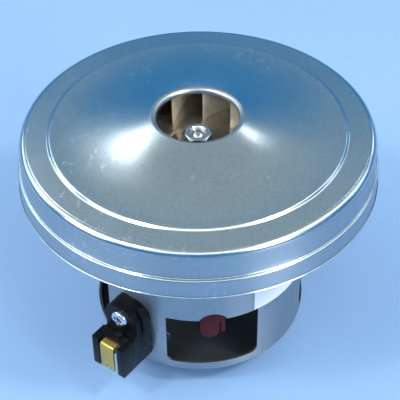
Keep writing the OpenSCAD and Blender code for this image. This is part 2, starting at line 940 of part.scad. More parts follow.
module armature_core() {
    color("dimgray")
        translate([0, 0, stack_z])
            linear_extrude(stack_len)
                difference() {
                    circle(armature_r);
                    circle(shaft_r + seat_fit);
                    slot_places() {
                        translate([slot_mid, 0])
                            circle(slot_r);
                        translate([slot_mid, -slot_mouth / 2])
                            square([slot_depth + cut, slot_mouth]);
                    }
                }
}

module armature_winding() {
    low = stack_z - lower_head;
    high = cup_floor_z - winding_room;
    color("sienna") {
        rotate_extrude()
            polygon([[head_in, stack_z - loose_fit], [head_in, low], [head_r - lower_bevel, low],
                [head_r, low + lower_bevel], [head_r, stack_z - loose_fit]]);
        rotate_extrude()
            polygon([[head_in, stack_top + loose_fit], [head_r, stack_top + loose_fit],
                [head_r, high - upper_bevel], [head_r - upper_bevel, high], [head_in, high]]);
        slot_places()
            translate([slot_mid, 0, stack_z - cut])
                cylinder(r = slot_r - loose_fit, h = stack_len + 2 * cut);
    }
}

module commutator_hub() {
    color("saddlebrown")
        ring(shaft_r + seat_fit, hub_r, commutator_z - hub_over, commutator_top + hub_over);
}

module commutator_bars() {
    inner = commutator_r - bar_t;
    points = [
        [inner, commutator_z], [commutator_r, commutator_z], [commutator_r, commutator_top - hook_len],
        [commutator_r + hook_h, commutator_top - hook_len], [commutator_r + hook_h, commutator_top],
        [inner, commutator_top]
    ];
    color("peru")
        slot_places()
            rotate([0, 0, -bar_half])
                rotate_extrude(angle = 2 * bar_half)
                    polygon(points);
}

module fan_spacer() {
    color("gainsboro")
        ring(bearing_bore, spacer_r, upper_bearing_top, fan_z);
}

module impeller_back_disc() {
    color("lightgray")
        ring(bearing_bore, fan_r, fan_z, fan_top);
}

// Upper face of the impeller's front disc, which runs parallel to the crown
function front_disc_points(drop) =
    [for (i = [0:crown_steps]) let (r = fan_eye_r + (fan_r - fan_eye_r) * i / crown_steps)
        [r, crown_z(r) - cover_sheet - fan_top_gap - drop]];

module impeller_front_disc() {
    color("lightgray")
        rotate_extrude()
            polygon(concat(front_disc_points(0), reversed(front_disc_points(fan_sheet))));
}

module impeller_blades() {
    channel = concat(
        [[fan_r, fan_top + seat_fit], [blade_start - blade_in, fan_top + seat_fit]],
        [[blade_start - blade_in, front_disc_points(fan_sheet + seat_fit)[0][1]]],
        front_disc_points(fan_sheet + seat_fit)
    );
    color("gainsboro")
        for (i = [0:blade_count - 1])
            rotate([0, 0, blade_turn + i * 360 / blade_count])
                intersection() {
                    translate([0, 0, fan_z])
                        linear_extrude(crest_z - fan_z)
                            swept_strip(blade_start, blade_end, blade_sweep, blade_curve, fan_sheet);
                    rotate_extrude()
                        polygon(channel);
                }
}

module fan_washer() {
    color("lightgray")
        ring(bearing_bore, clamp_r, fan_top, clamp_top);
}

module lock_washer() {
    color("gray")
        ring(thread_r + seat_fit, lock_r, clamp_top, lock_top);
}

module fan_nut() {
    corner_r = nut_flats / 2 / cos(opposite / nut_sides);
    face_r = nut_flats / 2 - nut_rim;
    outside = corner_r + cut;
    bevel_z = nut_top - (outside - face_r) * tan(nut_slope);
    color("gainsboro")
        difference() {
            intersection() {
                translate([0, 0, lock_top])
                    cylinder(r = corner_r, h = nut_h, $fn = nut_sides);
                rotate_extrude()
                    polygon([[0, lock_top], [outside, lock_top], [outside, bevel_z],
                        [face_r, nut_top], [0, nut_top]]);
            }
            translate([0, 0, lock_top - cut])
                cylinder(r = thread_r + seat_fit, h = nut_h + 2 * cut);
        }
}

// Outline of the screw lug, drawn across and up
module lug_outline() {
    half = holder_w / 2;
    polygon(concat(
        [[-half, box_z], [half, box_z]],
        arc(half - lug_groove_round, lug_top - lug_groove_round, lug_groove_round, 0, 90),
        arc(lug_round - half, lug_top - lug_round, lug_round, 90, 180)
    ));
}

module brush_holder(heading) {
    half = holder_w / 2;
    cheek_mid = half - cheek_t / 2;
    groove_end = lug_face - lug_plate_t;
    color([0.1, 0.1, 0.11])
        around(heading)
            difference() {
                union() {
                    difference() {
                        union() {
                            outward(can_bore, lug_face)
                                lug_outline();
                            translate([0, (half - box_side) / 2, 0])
                                block(can_bore, box_end, half + box_side, box_z, box_top);
                        }
                        cylinder(r = housing_r + seat_fit, h = lug_top + cut);
                    }
                    block(neck_start, lug_face, neck_w, brush_z - neck_h / 2, brush_z + neck_h / 2);
                    for (side = [-1, 1])
                        translate([0, side * cheek_mid, 0])
                            block(box_end - cut, cheek_end, cheek_t, box_z, box_top - cheek_drop);
                    block(box_end - cut, box_end + roof_len, 2 * box_side, box_top - roof_t, box_top);
                    translate([knob_r, knob_side, box_top - cut])
                        cylinder(d = knob_d, h = knob_h + cut);
                }
                block(neck_start - cut, tube_end, tube_w + 2 * seat_fit, brush_z - tube_h / 2 - seat_fit,
                    brush_z + tube_h / 2 + seat_fit);
                block(tube_end - cut, box_end + cut, terminal_w + 2 * loose_fit, box_z - cut,
                    terminal_top + seat_fit);
                outward(can_bore - cut, lug_face + cut)
                    translate([0, lug_screw_z])
                        circle(holder_screw_r + loose_fit);
                translate([0, half, 0])
                    block(groove_end - lug_groove_w, groove_end, 2 * lug_groove_depth, box_top,
                        lug_top + cut);
            }
}

module brush_tube(heading) {
    color("goldenrod")
        around(heading)
            difference() {
                block(tube_start, tube_end, tube_w, brush_z - tube_h / 2, brush_z + tube_h / 2);
                block(tube_start - cut, tube_end + cut, tube_w - 2 * tube_wall,
                    brush_z - tube_h / 2 + tube_wall, brush_z + tube_h / 2 - tube_wall);
            }
}

// A brass strip: it closes the tube's end, folds over and hangs down as the tab
module brush_terminal(heading) {
    tab_low = terminal_top - terminal_h;
    color("gold")
        around(heading)
            difference() {
                union() {
                    block(terminal_start, terminal_start + terminal_t, terminal_w,
                        tab_low + terminal_short, terminal_top);
                    block(terminal_start, terminal_end, terminal_w, terminal_top - terminal_t, terminal_top);
                    block(terminal_end - terminal_t, terminal_end, terminal_w, tab_low, terminal_top);
                }
                block(terminal_end - terminal_t - cut, terminal_end + cut, terminal_notch_w,
                    tab_low - cut, tab_low + terminal_notch_h);
            }
}

module carbon_brush(heading) {
    color([0.18, 0.18, 0.2])
        around(heading)
            difference() {
                block(0, carbon_end, carbon_w, brush_z - carbon_h / 2, brush_z + carbon_h / 2);
                cylinder(r = carbon_start, h = brush_z + carbon_h);
            }
}

// Middle line of the spring, along its own axis
spring_line = [for (i = [0:spring_turns * spring_rings])
    let (a = 360 * i / spring_rings, reach = spring_len - spring_wire)
        [spring_r * cos(a), spring_r * sin(a), spring_wire / 2 + reach * i / (spring_turns * spring_rings)]];
spring_gap = min([for (i = [0:len(spring_line) - 1], j = [i + spring_rings / 2:len(spring_line) - 1])
    if (j < len(spring_line)) norm(spring_line[i] - spring_line[j])]) - spring_wire;
echo(least_spring_gap = spring_gap);

// One unbroken tube of round wire along the spring's middle line
module spring_coil() {
    last = len(spring_line) - 1;
    points = [for (i = [0:last], k = [0:spring_sides - 1])
        let (a = 360 * i / spring_rings, b = 360 * k / spring_sides, w = spring_wire / 2)
            spring_line[i] + [w * cos(b) * cos(a), w * cos(b) * sin(a), w * sin(b)]];
    sides = [for (i = [0:last - 1], k = [0:spring_sides - 1], half = [0, 1])
        let (n = (k + 1) % spring_sides, low = i * spring_sides, high = low + spring_sides)
            half == 0 ? [low + k, high + k, high + n] : [low + k, high + n, low + n]];
    end = last * spring_sides;
    first_cap = [for (k = [1:spring_sides - 2]) [0, k, k + 1]];
    last_cap = [for (k = [1:spring_sides - 2]) [end, end + k + 1, end + k]];
    polyhedron(points, concat(sides, first_cap, last_cap));
}

module brush_spring(heading) {
    color("silver")
        around(heading)
            translate([spring_start, 0, brush_z])
                rotate([0, quarter, 0])
                    spring_coil();
}

module holder_screws() {
    dome = holder_head_h / 2;
    points = [
        [0, 0], [holder_screw_r - screw_bevel, 0],
        [holder_screw_r, screw_bevel], [holder_screw_r, holder_screw_len],
        [holder_head_r, holder_screw_len], [holder_head_r, holder_screw_len + holder_head_h - dome],
        [holder_head_r - dome, holder_screw_len + holder_head_h], [0, holder_screw_len + holder_head_h]
    ];
    color("gainsboro")
        both()
            around(brush_angle)
                translate([lug_face - holder_screw_len, 0, lug_screw_z])
                    rotate([0, quarter, 0])
                        difference() {
                            rotate_extrude()
                                polygon(points);
                            for (turn = [0, quarter])
                                rotate([0, 0, turn])
                                    translate([-recess_len / 2, -recess_w / 2, holder_screw_len + dome])
                                        cube([recess_len, recess_w, holder_head_h]);
                        }
}

module rating_label() {
    color("whitesmoke")
        around(label_angle + label_sweep / 2)
            sector(label_r, label_r + label_t, label_sweep / 2, label_z, label_z + label_h);
}

fan_cover();
motor_housing();
bearing_bridge();
bridge_screws();
diffuser();
diffuser_screws();
bearing_outer_ring(upper_bearing_z);  // upper_bearing_outer_ring
bearing_inner_ring(upper_bearing_z);  // upper_bearing_inner_ring
bearing_balls(upper_bearing_z);  // upper_bearing_balls
bearing_cage(upper_bearing_z);  // upper_bearing_cage
bearing_outer_ring(lower_bearing_z);  // lower_bearing_outer_ring
bearing_inner_ring(lower_bearing_z);  // lower_bearing_inner_ring
bearing_balls(lower_bearing_z);  // lower_bearing_balls
bearing_cage(lower_bearing_z);  // lower_bearing_cage
stator_core();
field_coil(pole_angle);  // front_field_coil
field_coil(pole_angle + opposite);  // rear_field_coil
upper_stator_insulator();
lower_stator_insulator();
shaft();
armature_core();
armature_winding();
commutator_hub();
commutator_bars();
fan_spacer();
impeller_back_disc();
impeller_blades();
impeller_front_disc();
fan_washer();
lock_washer();
fan_nut();
brush_holder(brush_angle);  // left_brush_holder
brush_holder(brush_angle + opposite);  // right_brush_holder
brush_tube(brush_angle);  // left_brush_tube
brush_tube(brush_angle + opposite);  // right_brush_tube
brush_terminal(brush_angle);  // left_brush_terminal
brush_terminal(brush_angle + opposite);  // right_brush_terminal
carbon_brush(brush_angle);  // left_carbon_brush
carbon_brush(brush_angle + opposite);  // right_carbon_brush
brush_spring(brush_angle);  // left_brush_spring
brush_spring(brush_angle + opposite);  // right_brush_spring
holder_screws();
rating_label();
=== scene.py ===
import json
import math

import bmesh
import bpy
from mathutils import Matrix, Vector


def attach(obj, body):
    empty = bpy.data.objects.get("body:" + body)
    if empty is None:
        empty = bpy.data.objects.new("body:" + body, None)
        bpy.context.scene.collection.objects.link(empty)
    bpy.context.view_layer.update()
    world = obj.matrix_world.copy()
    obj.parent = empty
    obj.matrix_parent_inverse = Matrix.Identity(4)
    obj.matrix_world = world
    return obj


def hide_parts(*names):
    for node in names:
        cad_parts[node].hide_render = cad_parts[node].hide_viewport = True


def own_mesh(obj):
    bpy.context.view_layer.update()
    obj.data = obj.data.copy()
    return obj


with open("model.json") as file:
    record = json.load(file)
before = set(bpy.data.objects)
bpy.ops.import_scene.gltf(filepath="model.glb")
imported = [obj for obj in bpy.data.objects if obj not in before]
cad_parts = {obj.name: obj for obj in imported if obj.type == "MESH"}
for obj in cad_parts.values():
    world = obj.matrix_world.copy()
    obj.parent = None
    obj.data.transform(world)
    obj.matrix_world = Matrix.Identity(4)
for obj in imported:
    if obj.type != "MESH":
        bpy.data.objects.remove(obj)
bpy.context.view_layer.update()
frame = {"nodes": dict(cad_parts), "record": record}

MM = 0.001
TURN = 2 * math.pi

# Cover: this and every other size of the part is in millimetres, and its angles are in degrees
EYE_R = 15.1
LIP_ROLL = 1.9
LIP_Z = 102.5
CREST_R = EYE_R + LIP_ROLL
CREST_Z = 104.5
CROWN_START = CREST_R + 0.4
CROWN_Z = 98.6
CROWN_STEPS = 40
BEAD_R = 54.2
BEAD_W = 1.5
BEAD_STEPS = 16
PLATE_Z = 97.7
DRUM_R = 65.8
DRUM_ROUND = 3
SHOULDER_Z = 85.9
SHOULDER_FILLET = 0.4
SHOULDER_ROUND = 0.8
FLARE = 0.45
FLARE_H = 0.8
SKIRT_R = 67.5
SKIRT_WALL = SKIRT_R - FLARE
SKIRT_Z = 78.0
SKIRT_EDGE = 0.2
SHEET = 0.8

# Housing
CAN_SHEET = 1.0
HOUSING_R = 41.7
CAN_BORE = HOUSING_R - CAN_SHEET
TAIL_HOLE_R = 8.6
BOSS_R = 12.03
BOSS_ROUND = 1
BOSS_FILLET = 0.6
FLOOR_Z = 8
FOOT_Z = 13.5
FOOT_ROUND = 5.5
FLANGE_Z = 79
FLANGE_FILLET = 1.2
FLANGE_R = 66.6
FLANGE_ROUND = 2
FLANGE_TOP = 85
FLOOR_HOLE_R = 2.8
FLOOR_HOLE_AT = 26.8
FLOOR_HOLE_TURN = 3

# Windows of the housing
WINDOW_ANGLE = 6.5
WINDOW_HALF = 17.6
WINDOW_Z = 15.2
WINDOW_TOP = 39.0
WINDOW_ROUND = 2.8
NOTCH_HALF = 5.3
NOTCH_H = 3.3
NOTCH_R = (NOTCH_HALF ** 2 + NOTCH_H ** 2) / (2 * NOTCH_H)
WINDOW_REACH_IN = 12
WINDOW_REACH_OUT = 2

# Rating label
LABEL_ANGLE = 29
LABEL_SPAN = 52
LABEL_STEPS = 48
LABEL_Z = 39.3
LABEL_TOP = 68.3
LABEL_IN = 41.73
LABEL_OUT = 41.88

# Brush holders: a face is a distance outward from the axis, a shift is a distance across
BRUSH_ANGLE = -37.5
BRUSH_Z = 25.0
HOLDER_Z = 17.25
HOLDER_EDGE = 0.35
CAN_GAP = 0.03
LUG_HALF = 7.5
LUG_TOP = 43.25
LUG_FACE = 49.1
LUG_LEFT_ROUND = 4.5
LUG_RIGHT_ROUND = 7.0
LUG_PLATE = 2.4
GROOVE_W = 1.4
GROOVE_DEPTH = 3
BOX_FACE = 51.3
BOX_W = 13.7
BOX_SHIFT = 0.65
BOX_TOP = 32.75
NECK_START = 30.7
NECK_END = 47
NECK_W = 10.4
NECK_HALF_H = 6.95
NECK_GAP = 0.1
CHEEK_START = 51
CHEEK_FACE = 58
CHEEK_W = 3.1
CHEEK_SHIFT = 5.95
CHEEK_TOP = 31.85
ROOF_FACE = 55.5
ROOF_W = 12.4
ROOF_Z = 31.35
TUBE_ROOM_END = 50.2
TUBE_ROOM_W = 7.46
TUBE_ROOM_HALF_H = 6.23
TAB_ROOM_W = 6.6
TAB_ROOM_TOP = 31.28
KNOB_AT = 52.3
KNOB_SHIFT = 1.7
KNOB_R = 1.5
KNOB_ROUND = 0.4
KNOB_Z = 32.5
KNOB_TOP = 33.95

# Terminals: a folded strip with a leg in the holder and a tab outside
STRIP_T = 0.8
STRIP_HALF = 3.2
STRIP_EDGE = 0.12
STRIP_BEND = 1.2
BEND_Z = 30.05
LEG_FACE = 50.3
LEG_Z = 19.45
TAB_FACE = 58.6
TAB_Z = 18.45
TAB_NOTCH_W = 1.2
TAB_NOTCH_TOP = 20.65

# Screws of the holders
SCREW_Z = 38.65
SCREW_R = 1.75
SCREW_ROOM_R = 1.85
SCREW_L = 11.5
SCREW_TIP = 0.5
SCREW_EDGE = 0.1
HEAD_R = 3.5
HEAD_H = 2.2
HEAD_ROUND = 1.3
RECESS_L = 4.0
RECESS_W = 0.9
RECESS_DEPTH = 1.2

# Brush springs
SPRING_START = 34.2
SPRING_END = 50.1
SPRING_R = 2.45
SPRING_WIRE = 0.45
SPRING_TURNS = 8
SPRING_STEPS = 40

# Field coils
FIELD_WIRE = 0.5
FIELD_LAYERS = 8
FIELD_ROWS = 6
FIELD_R = 25.5
FIELD_DEPTH = 7.3
FIELD_W = 6.5
FIELD_ROW_START = 0.6
FIELD_ROW_SPAN = 5.3
FIELD_ANGLE = 22.9
FIELD_SPREAD = 37.1
FIELD_Z = 44.7
FIELD_TOP = 72.3
FIELD_BEND = 2.2
FIELD_BEND_MORE = 3
FIELD_STRETCH = 4

# Armature winding
STACK_Z = 46.0
STACK_TOP = 71.0
SLOTS = 22
SLOT_R = 16.2
SLOT_BUNDLE_R = 1.15
SLOT_REACH = 0.2
COIL_SPAN = 9
COIL_LAYERS = 3
COIL_STEPS = 16
COIL_WIRE = 0.55
COIL_LIFT = 0.4
COIL_R = 16.9
COIL_R_STEP = 0.6
COIL_BULGE = 8.2
COIL_BULGE_STEP = 1.1
COIL_BULGE_POWER = 1.2
COIL_SHARE = 0.28
COIL_SHARE_STEP = 0.24
COIL_SHARE_POWER = 0.45
COIL_CLIMB = 0.2
LOWER_REACH = -6.4
UPPER_REACH = 3.0

# Nut and shaft
NUT_FLATS = 10
NUT_Z = 91.1
NUT_TOP = 96.3
NUT_FACE_R = 4.67
NUT_OUTER_R = 6.2
NUT_BORE_R = 3.03
NUT_MOUTH_R = 3.5
NUT_MOUTH_DEPTH = 0.4
NUT_EDGE = 0.12
SHAFT_Z = 1.3
SHAFT_CHAMFER = 0.4
JOURNAL_R = 3.97
CORE_R = 5
CORE_Z = 8
CORE_TOP = 78
THREAD_Z = 90.1
THREAD_R = 3.0
THREAD_ROOT_R = 2.72
THREAD_LEAD = 0.2
THREAD_PITCH = 0.75
THREAD_FALL = 0.35
THREAD_TURNS = 6
THREAD_END = 1.15
SHAFT_TOP = 96.2
DOME_R = 2.3
DOME_EDGE_R = 2.7
DOME_DEPTH = 1.12
DOME_RADIANS = 0.9
DOME_STEPS = 8

# Mesh helpers


def arc(x, y, r, first, last, steps=12):
    turns = [math.radians(first + (last - first) * i / steps) for i in range(steps + 1)]
    return [(x + r * math.cos(a), y + r * math.sin(a)) for a in turns]


def polar(r, turn, z):
    return Vector((r * math.cos(turn), r * math.sin(turn), z))


def heading(angle):
    """The turn that makes local +X look outward at a heading from the front."""
    return Matrix.Rotation(math.radians(angle - 90), 4, "Z")


def linked(name, data):
    obj = bpy.data.objects.new(name, data)
    bpy.context.scene.collection.objects.link(obj)
    return obj


def meshed(name, bm):
    mesh = bpy.data.meshes.new(name)
    bm.to_mesh(mesh)
    bm.free()
    return linked(name, mesh)


def shape(name, bm, place=None):
    """A finished object from a mesh that was drawn in millimetres."""
    bmesh.ops.remove_doubles(bm, verts=bm.verts, dist=1e-4)
    bmesh.ops.recalc_face_normals(bm, faces=bm.faces)
    bm.transform(Matrix.Scale(MM, 4))
    if place is not None:
        bm.transform(place)
    return meshed(name, bm)


def lathe(name, outline, steps, place=None):
    """A closed outline of radius and height, turned round Z."""
    bm = bmesh.new()
    rings = []
    for r, z in outline:
        count = 1 if r < 1e-6 else steps
        rings.append([bm.verts.new(polar(r, TURN * k / steps, z)) for k in range(count)])
    for a, b in zip(rings, rings[1:] + rings[:1]):
        for k in range(steps):
            n = (k + 1) % steps
            if len(a) > 1 and len(b) > 1:
                bm.faces.new((a[k], a[n], b[n], b[k]))
            elif len(a) > 1:
                bm.faces.new((a[k], a[n], b[0]))
            elif len(b) > 1:
                bm.faces.new((a[0], b[n], b[k]))
    return shape(name, bm, place)


# Local axes of an outline that is drawn across and up and extruded outward, or drawn outward and up
OUTWARD = Matrix(((0, 0, 1, 0), (1, 0, 0, 0), (0, 1, 0, 0), (0, 0, 0, 1)))
SIDEWAYS = Matrix(((1, 0, 0, 0), (0, 0, 1, 0), (0, 1, 0, 0), (0, 0, 0, 1)))


def prism(name, outline, low, high, axes=Matrix.Identity(4), place=None):
    bm = bmesh.new()
    ends = [[bm.verts.new(axes @ Vector((x, y, z))) for x, y in outline] for z in (low, high)]
    bm.faces.new(ends[0])
    bm.faces.new(ends[1])
    for i in range(len(outline)):
        n = (i + 1) % len(outline)
        bm.faces.new((ends[0][i], ends[0][n], ends[1][n], ends[1][i]))
    return shape(name, bm, place)


def outward(name, outline, start, end, angle):
    return prism(name, outline, start, end, OUTWARD, heading(angle))


def block(name, angle, start, end, width, low, high, shift=0.0):
    half = width / 2
    outline = [(shift - half, low), (shift + half, low), (shift + half, high), (shift - half, high)]
    return outward(name, outline, start, end, angle)


def add_tube(bm, points, radius, sides, closed=False):
    """A round wire along a line of points."""
    last = len(points) - 1
    rings = []
    side = None
    for i, point in enumerate(points):
        before = points[i - 1] if i > 0 or closed else point
        after = points[(i + 1) % len(points)] if i < last or closed else point
        along = (after - before).normalized()
        if side is None:
            side = along.orthogonal()
        side = (side - along * side.dot(along)).normalized()
        other = along.cross(side)
        turns = [TURN * k / sides for k in range(sides)]
        rings.append([bm.verts.new(point + radius * (side * math.cos(a) + other * math.sin(a)))
                      for a in turns])
    pairs = list(zip(rings, rings[1:]))
    if closed:
        pairs.append((rings[-1], rings[0]))
    for a, b in pairs:
        for k in range(sides):
            n = (k + 1) % sides
            bm.faces.new((a[k], a[n], b[n], b[k]))
    if not closed:
        bm.faces.new(rings[0])
        bm.faces.new(rings[-1])


def applied(obj):
    depsgraph = bpy.context.evaluated_depsgraph_get()
    mesh = bpy.data.meshes.new_from_object(obj.evaluated_get(depsgraph))
    obj.modifiers.clear()
    obj.data = mesh
    return obj


def cut(obj, *tools, operation="DIFFERENCE"):
    for tool in tools:
        change = obj.modifiers.new("cut", "BOOLEAN")
        change.object = tool
        change.operation = operation
        change.solver = "EXACT"
    applied(obj)
    for tool in tools:
        bpy.data.objects.remove(tool)


def join(obj, *others):
    cut(obj, *others, operation="UNION")


def merged(name, *objs):
    """Several separate solids in one object."""
    bm = bmesh.new()
    for obj in objs:
        bm.from_mesh(obj.data)
        bpy.data.objects.remove(obj)
    return meshed(name, bm)


def bevel(obj, width, segments=2, angle=40):
    change = obj.modifiers.new("bevel", "BEVEL")
    change.width = width * MM
    change.segments = segments
    change.limit_method = "ANGLE"
    change.angle_limit = math.radians(angle)
    return applied(obj)


def rounded(node, width):
    """A copy of a CAD node with its flat faces whole and its edges rounded."""
    bm = bmesh.new()
    bm.from_mesh(frame["nodes"][node].data)
    bmesh.ops.remove_doubles(bm, verts=bm.verts, dist=1e-6)
    bmesh.ops.dissolve_limit(bm, angle_limit=math.radians(0.3), verts=bm.verts, edges=bm.edges)
    return bevel(meshed(node + "_form", bm), width, angle=35)


BODY_OF = {node: body for body, nodes in frame["record"]["behaviour"]["bodies"].items() for node in nodes}


def piece(obj, material, node, angle=32, more=()):
    """Puts a finished mesh in the place of its CAD node, with edges sharp from an angle on."""
    obj.data.polygons.foreach_set("use_smooth", [True] * len(obj.data.polygons))
    obj.data.set_sharp_from_angle(angle=math.radians(angle))
    obj.data.materials.clear()
    for each in (material, *more):
        obj.data.materials.append(each)
    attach(obj, BODY_OF[node])
    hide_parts(node)
    return obj


# Materials: all patterns follow object coordinates
EVEN = (1, 1, 1)
NOISE_LOW = 0.3
NOISE_HIGH = 0.7
QUARTER = 0.25


class Paint:
    """A material in the making, with the textures that vary its colour, gloss and surface."""

    def __init__(self, name, colour, rough, metallic=0.0):
        self.material = bpy.data.materials.new(name)
        self.material.use_nodes = True
        self.tree = self.material.node_tree
        self.shader = self.tree.nodes["Principled BSDF"]
        self.shader.inputs["Base Color"].default_value = (*colour, 1)
        self.shader.inputs["Metallic"].default_value = metallic
        self.shader.inputs["Roughness"].default_value = rough
        self.colour = colour
        self.rough = rough
        self.coords = self.tree.nodes.new("ShaderNodeTexCoord").outputs["Object"]

    def node(self, kind, **values):
        made = self.tree.nodes.new(kind)
        for key, value in values.items():
            setattr(made, key, value)
        return made

    def link(self, source, target):
        self.tree.links.new(source, target)

    def placed(self, stretch):
        if stretch == EVEN:
            return self.coords
        mapping = self.node("ShaderNodeMapping")
        mapping.inputs["Scale"].default_value = stretch
        self.link(self.coords, mapping.inputs["Vector"])
        return mapping.outputs["Vector"]

    def noise(self, scale, detail, stretch=EVEN):
        made = self.node("ShaderNodeTexNoise")
        made.inputs["Scale"].default_value = scale
        made.inputs["Detail"].default_value = detail
        self.link(self.placed(stretch), made.inputs["Vector"])
        return made.outputs["Fac"]

    def cells(self, scale):
        made = self.node("ShaderNodeTexVoronoi")
        made.inputs["Scale"].default_value = scale
        self.link(self.coords, made.inputs["Vector"])
        grey = self.node("ShaderNodeSeparateColor")
        self.link(made.outputs["Color"], grey.inputs["Color"])
        return grey.outputs["Red"]

    def bands(self, scale):
        made = self.node("ShaderNodeTexWave", wave_type="BANDS", bands_direction="Z")
        made.inputs["Scale"].default_value = scale
        self.link(self.coords, made.inputs["Vector"])
        return made.outputs["Fac"]

    def combine(self, operation, first, second):
        made = self.node("ShaderNodeMath", operation=operation)
        self.link(first, made.inputs[0])
        self.link(second, made.inputs[1])
        return made.outputs["Value"]

    def span(self, factor, low, high, start=0.0, end=1.0):
        made = self.node("ShaderNodeMapRange")
        made.inputs["From Min"].default_value = start
        made.inputs["From Max"].default_value = end
        made.inputs["To Min"].default_value = low
        made.inputs["To Max"].default_value = high
        self.link(factor, made.inputs["Value"])
        return made.outputs["Result"]

    def tint(self, factor, low, high, peak=None):
        """The colour runs between two shades of itself, or on to a third one."""
        ramp = self.node("ShaderNodeValToRGB")
        ramp.color_ramp.elements[0].position = NOISE_LOW
        ramp.color_ramp.elements[1].position = NOISE_HIGH
        ramp.color_ramp.elements[0].color = (*[low * c for c in self.colour], 1)
        ramp.color_ramp.elements[1].color = (*[min(1, high * c) for c in self.colour], 1)
        if peak is not None:
            ramp.color_ramp.elements.new(1.0).color = (*[min(1, peak * c) for c in self.colour], 1)
        self.link(factor, ramp.inputs["Fac"])
        self.link(ramp.outputs["Color"], self.shader.inputs["Base Color"])

    def shine(self, factor, spread):
        """The roughness runs evenly about its own value."""
        varied = self.span(factor, self.rough - spread, self.rough + spread, NOISE_LOW, NOISE_HIGH)
        self.link(varied, self.shader.inputs["Roughness"])

    def relief(self, height, strength, depth):
        bump = self.node("ShaderNodeBump")
        bump.inputs["Strength"].default_value = strength
        bump.inputs["Distance"].default_value = depth * MM
        self.link(height, bump.inputs["Height"])
        self.link(bump.outputs["Normal"], self.shader.inputs["Normal"])


def sheet_steel(name, colour, rough, cell, scuff=1.05, metallic=1.0, drawn=0.0):
    """Zinc-coated sheet; drawn sets how far its highlights are pulled upright, as on a drawn can."""
    paint = Paint(name, colour, rough, metallic)
    if drawn:
        around = paint.node("ShaderNodeTangent", direction_type="RADIAL", axis="Z")
        paint.link(around.outputs["Tangent"], paint.shader.inputs["Tangent"])
        paint.shader.inputs["Anisotropic"].default_value = drawn
        paint.shader.inputs["Anisotropic Rotation"].default_value = QUARTER
    grain = paint.span(paint.noise(scale=900, detail=5), low=0.0, high=0.9)
    spangle = paint.span(paint.cells(cell), low=0.0, high=0.1)
    streaks = paint.noise(scale=520, detail=4, stretch=(1, 0.45, 1))
    scratched = paint.span(streaks, low=0.0, high=0.5, start=0.6, end=0.68)
    patches = paint.span(paint.noise(scale=38, detail=2), low=0.0, high=1.0, start=0.5, end=0.6)
    scuffs = paint.combine("MULTIPLY", scratched, patches)
    worn = paint.combine("ADD", paint.combine("ADD", grain, spangle), scuffs)
    paint.tint(worn, low=0.93, high=1.05, peak=scuff)
    paint.shine(paint.noise(scale=45, detail=5), spread=0.04)
    paint.relief(paint.noise(scale=2600, detail=4), strength=0.04, depth=0.02)
    return paint.material


def plain_metal(name, colour, rough, grain=900, stretch=EVEN, metallic=1.0):
    paint = Paint(name, colour, rough, metallic)
    paint.tint(paint.noise(scale=250, detail=4), low=0.88, high=1.06)
    paint.shine(paint.noise(scale=400, detail=4), spread=0.06)
    paint.relief(paint.noise(grain, 4, stretch), strength=0.08, depth=0.04)
    return paint.material


def plastic(name, colour, rough, specular=0.5):
    paint = Paint(name, colour, rough)
    paint.shader.inputs["Specular IOR Level"].default_value = specular
    paint.tint(paint.noise(scale=300, detail=4), low=0.8, high=1.2)
    paint.shine(paint.noise(scale=500, detail=4), spread=0.06)
    paint.relief(paint.noise(scale=2500, detail=3), strength=0.12, depth=0.05)
    return paint.material


def paper(name, colour, rough):
    paint = Paint(name, colour, rough)
    paint.tint(paint.noise(scale=120, detail=5), low=0.96, high=1.02)
    paint.shine(paint.noise(scale=300, detail=4), spread=0.05)
    paint.relief(paint.noise(scale=3000, detail=4), strength=0.08, depth=0.02)
    return paint.material


def wound(name, colour, rough):
    paint = Paint(name, colour, rough, metallic=0.85)
    paint.tint(paint.noise(scale=500, detail=3), low=0.7, high=1.15)
    paint.shine(paint.noise(scale=350, detail=3), spread=0.08)
    paint.relief(paint.noise(scale=1500, detail=3), strength=0.1, depth=0.05)
    return paint.material


def layered(name, colour, rough):
    """Edges of stacked sheets, with about one band in each millimetre."""
    paint = Paint(name, colour, rough, metallic=0.7)
    paint.tint(paint.noise(scale=200, detail=5), low=0.75, high=1.25)
    paint.shine(paint.noise(scale=300, detail=4), spread=0.08)
    paint.relief(paint.bands(scale=307.69231), strength=0.35, depth=0.1)
    return paint.material


galvanised_sheet = sheet_steel("galvanised_sheet", (0.55, 0.64, 0.68), rough=0.2, cell=150, scuff=1.2)
# The rolled lip: the cover's sheet made rougher, and darker as painted shade
lip_sheet_painted_shade = sheet_steel("lip_sheet_painted_shade", (0.44, 0.49, 0.51), rough=0.36, cell=150)
# The drum and skirt walls: the cover's own sheet in a darker colour, which is painted shade, with drawn-can
# highlights
drawn_wall_painted_shade = sheet_steel("drawn_wall_painted_shade", (0.38, 0.44, 0.48), rough=0.34, cell=150, scuff=1.2, drawn=0.9)
# The can's outside: a darker sheet than the cover's, which is painted shade from the cover above it
can_sheet = sheet_steel("can_sheet", (0.37, 0.405, 0.43), rough=0.36, cell=170, drawn=0.9)
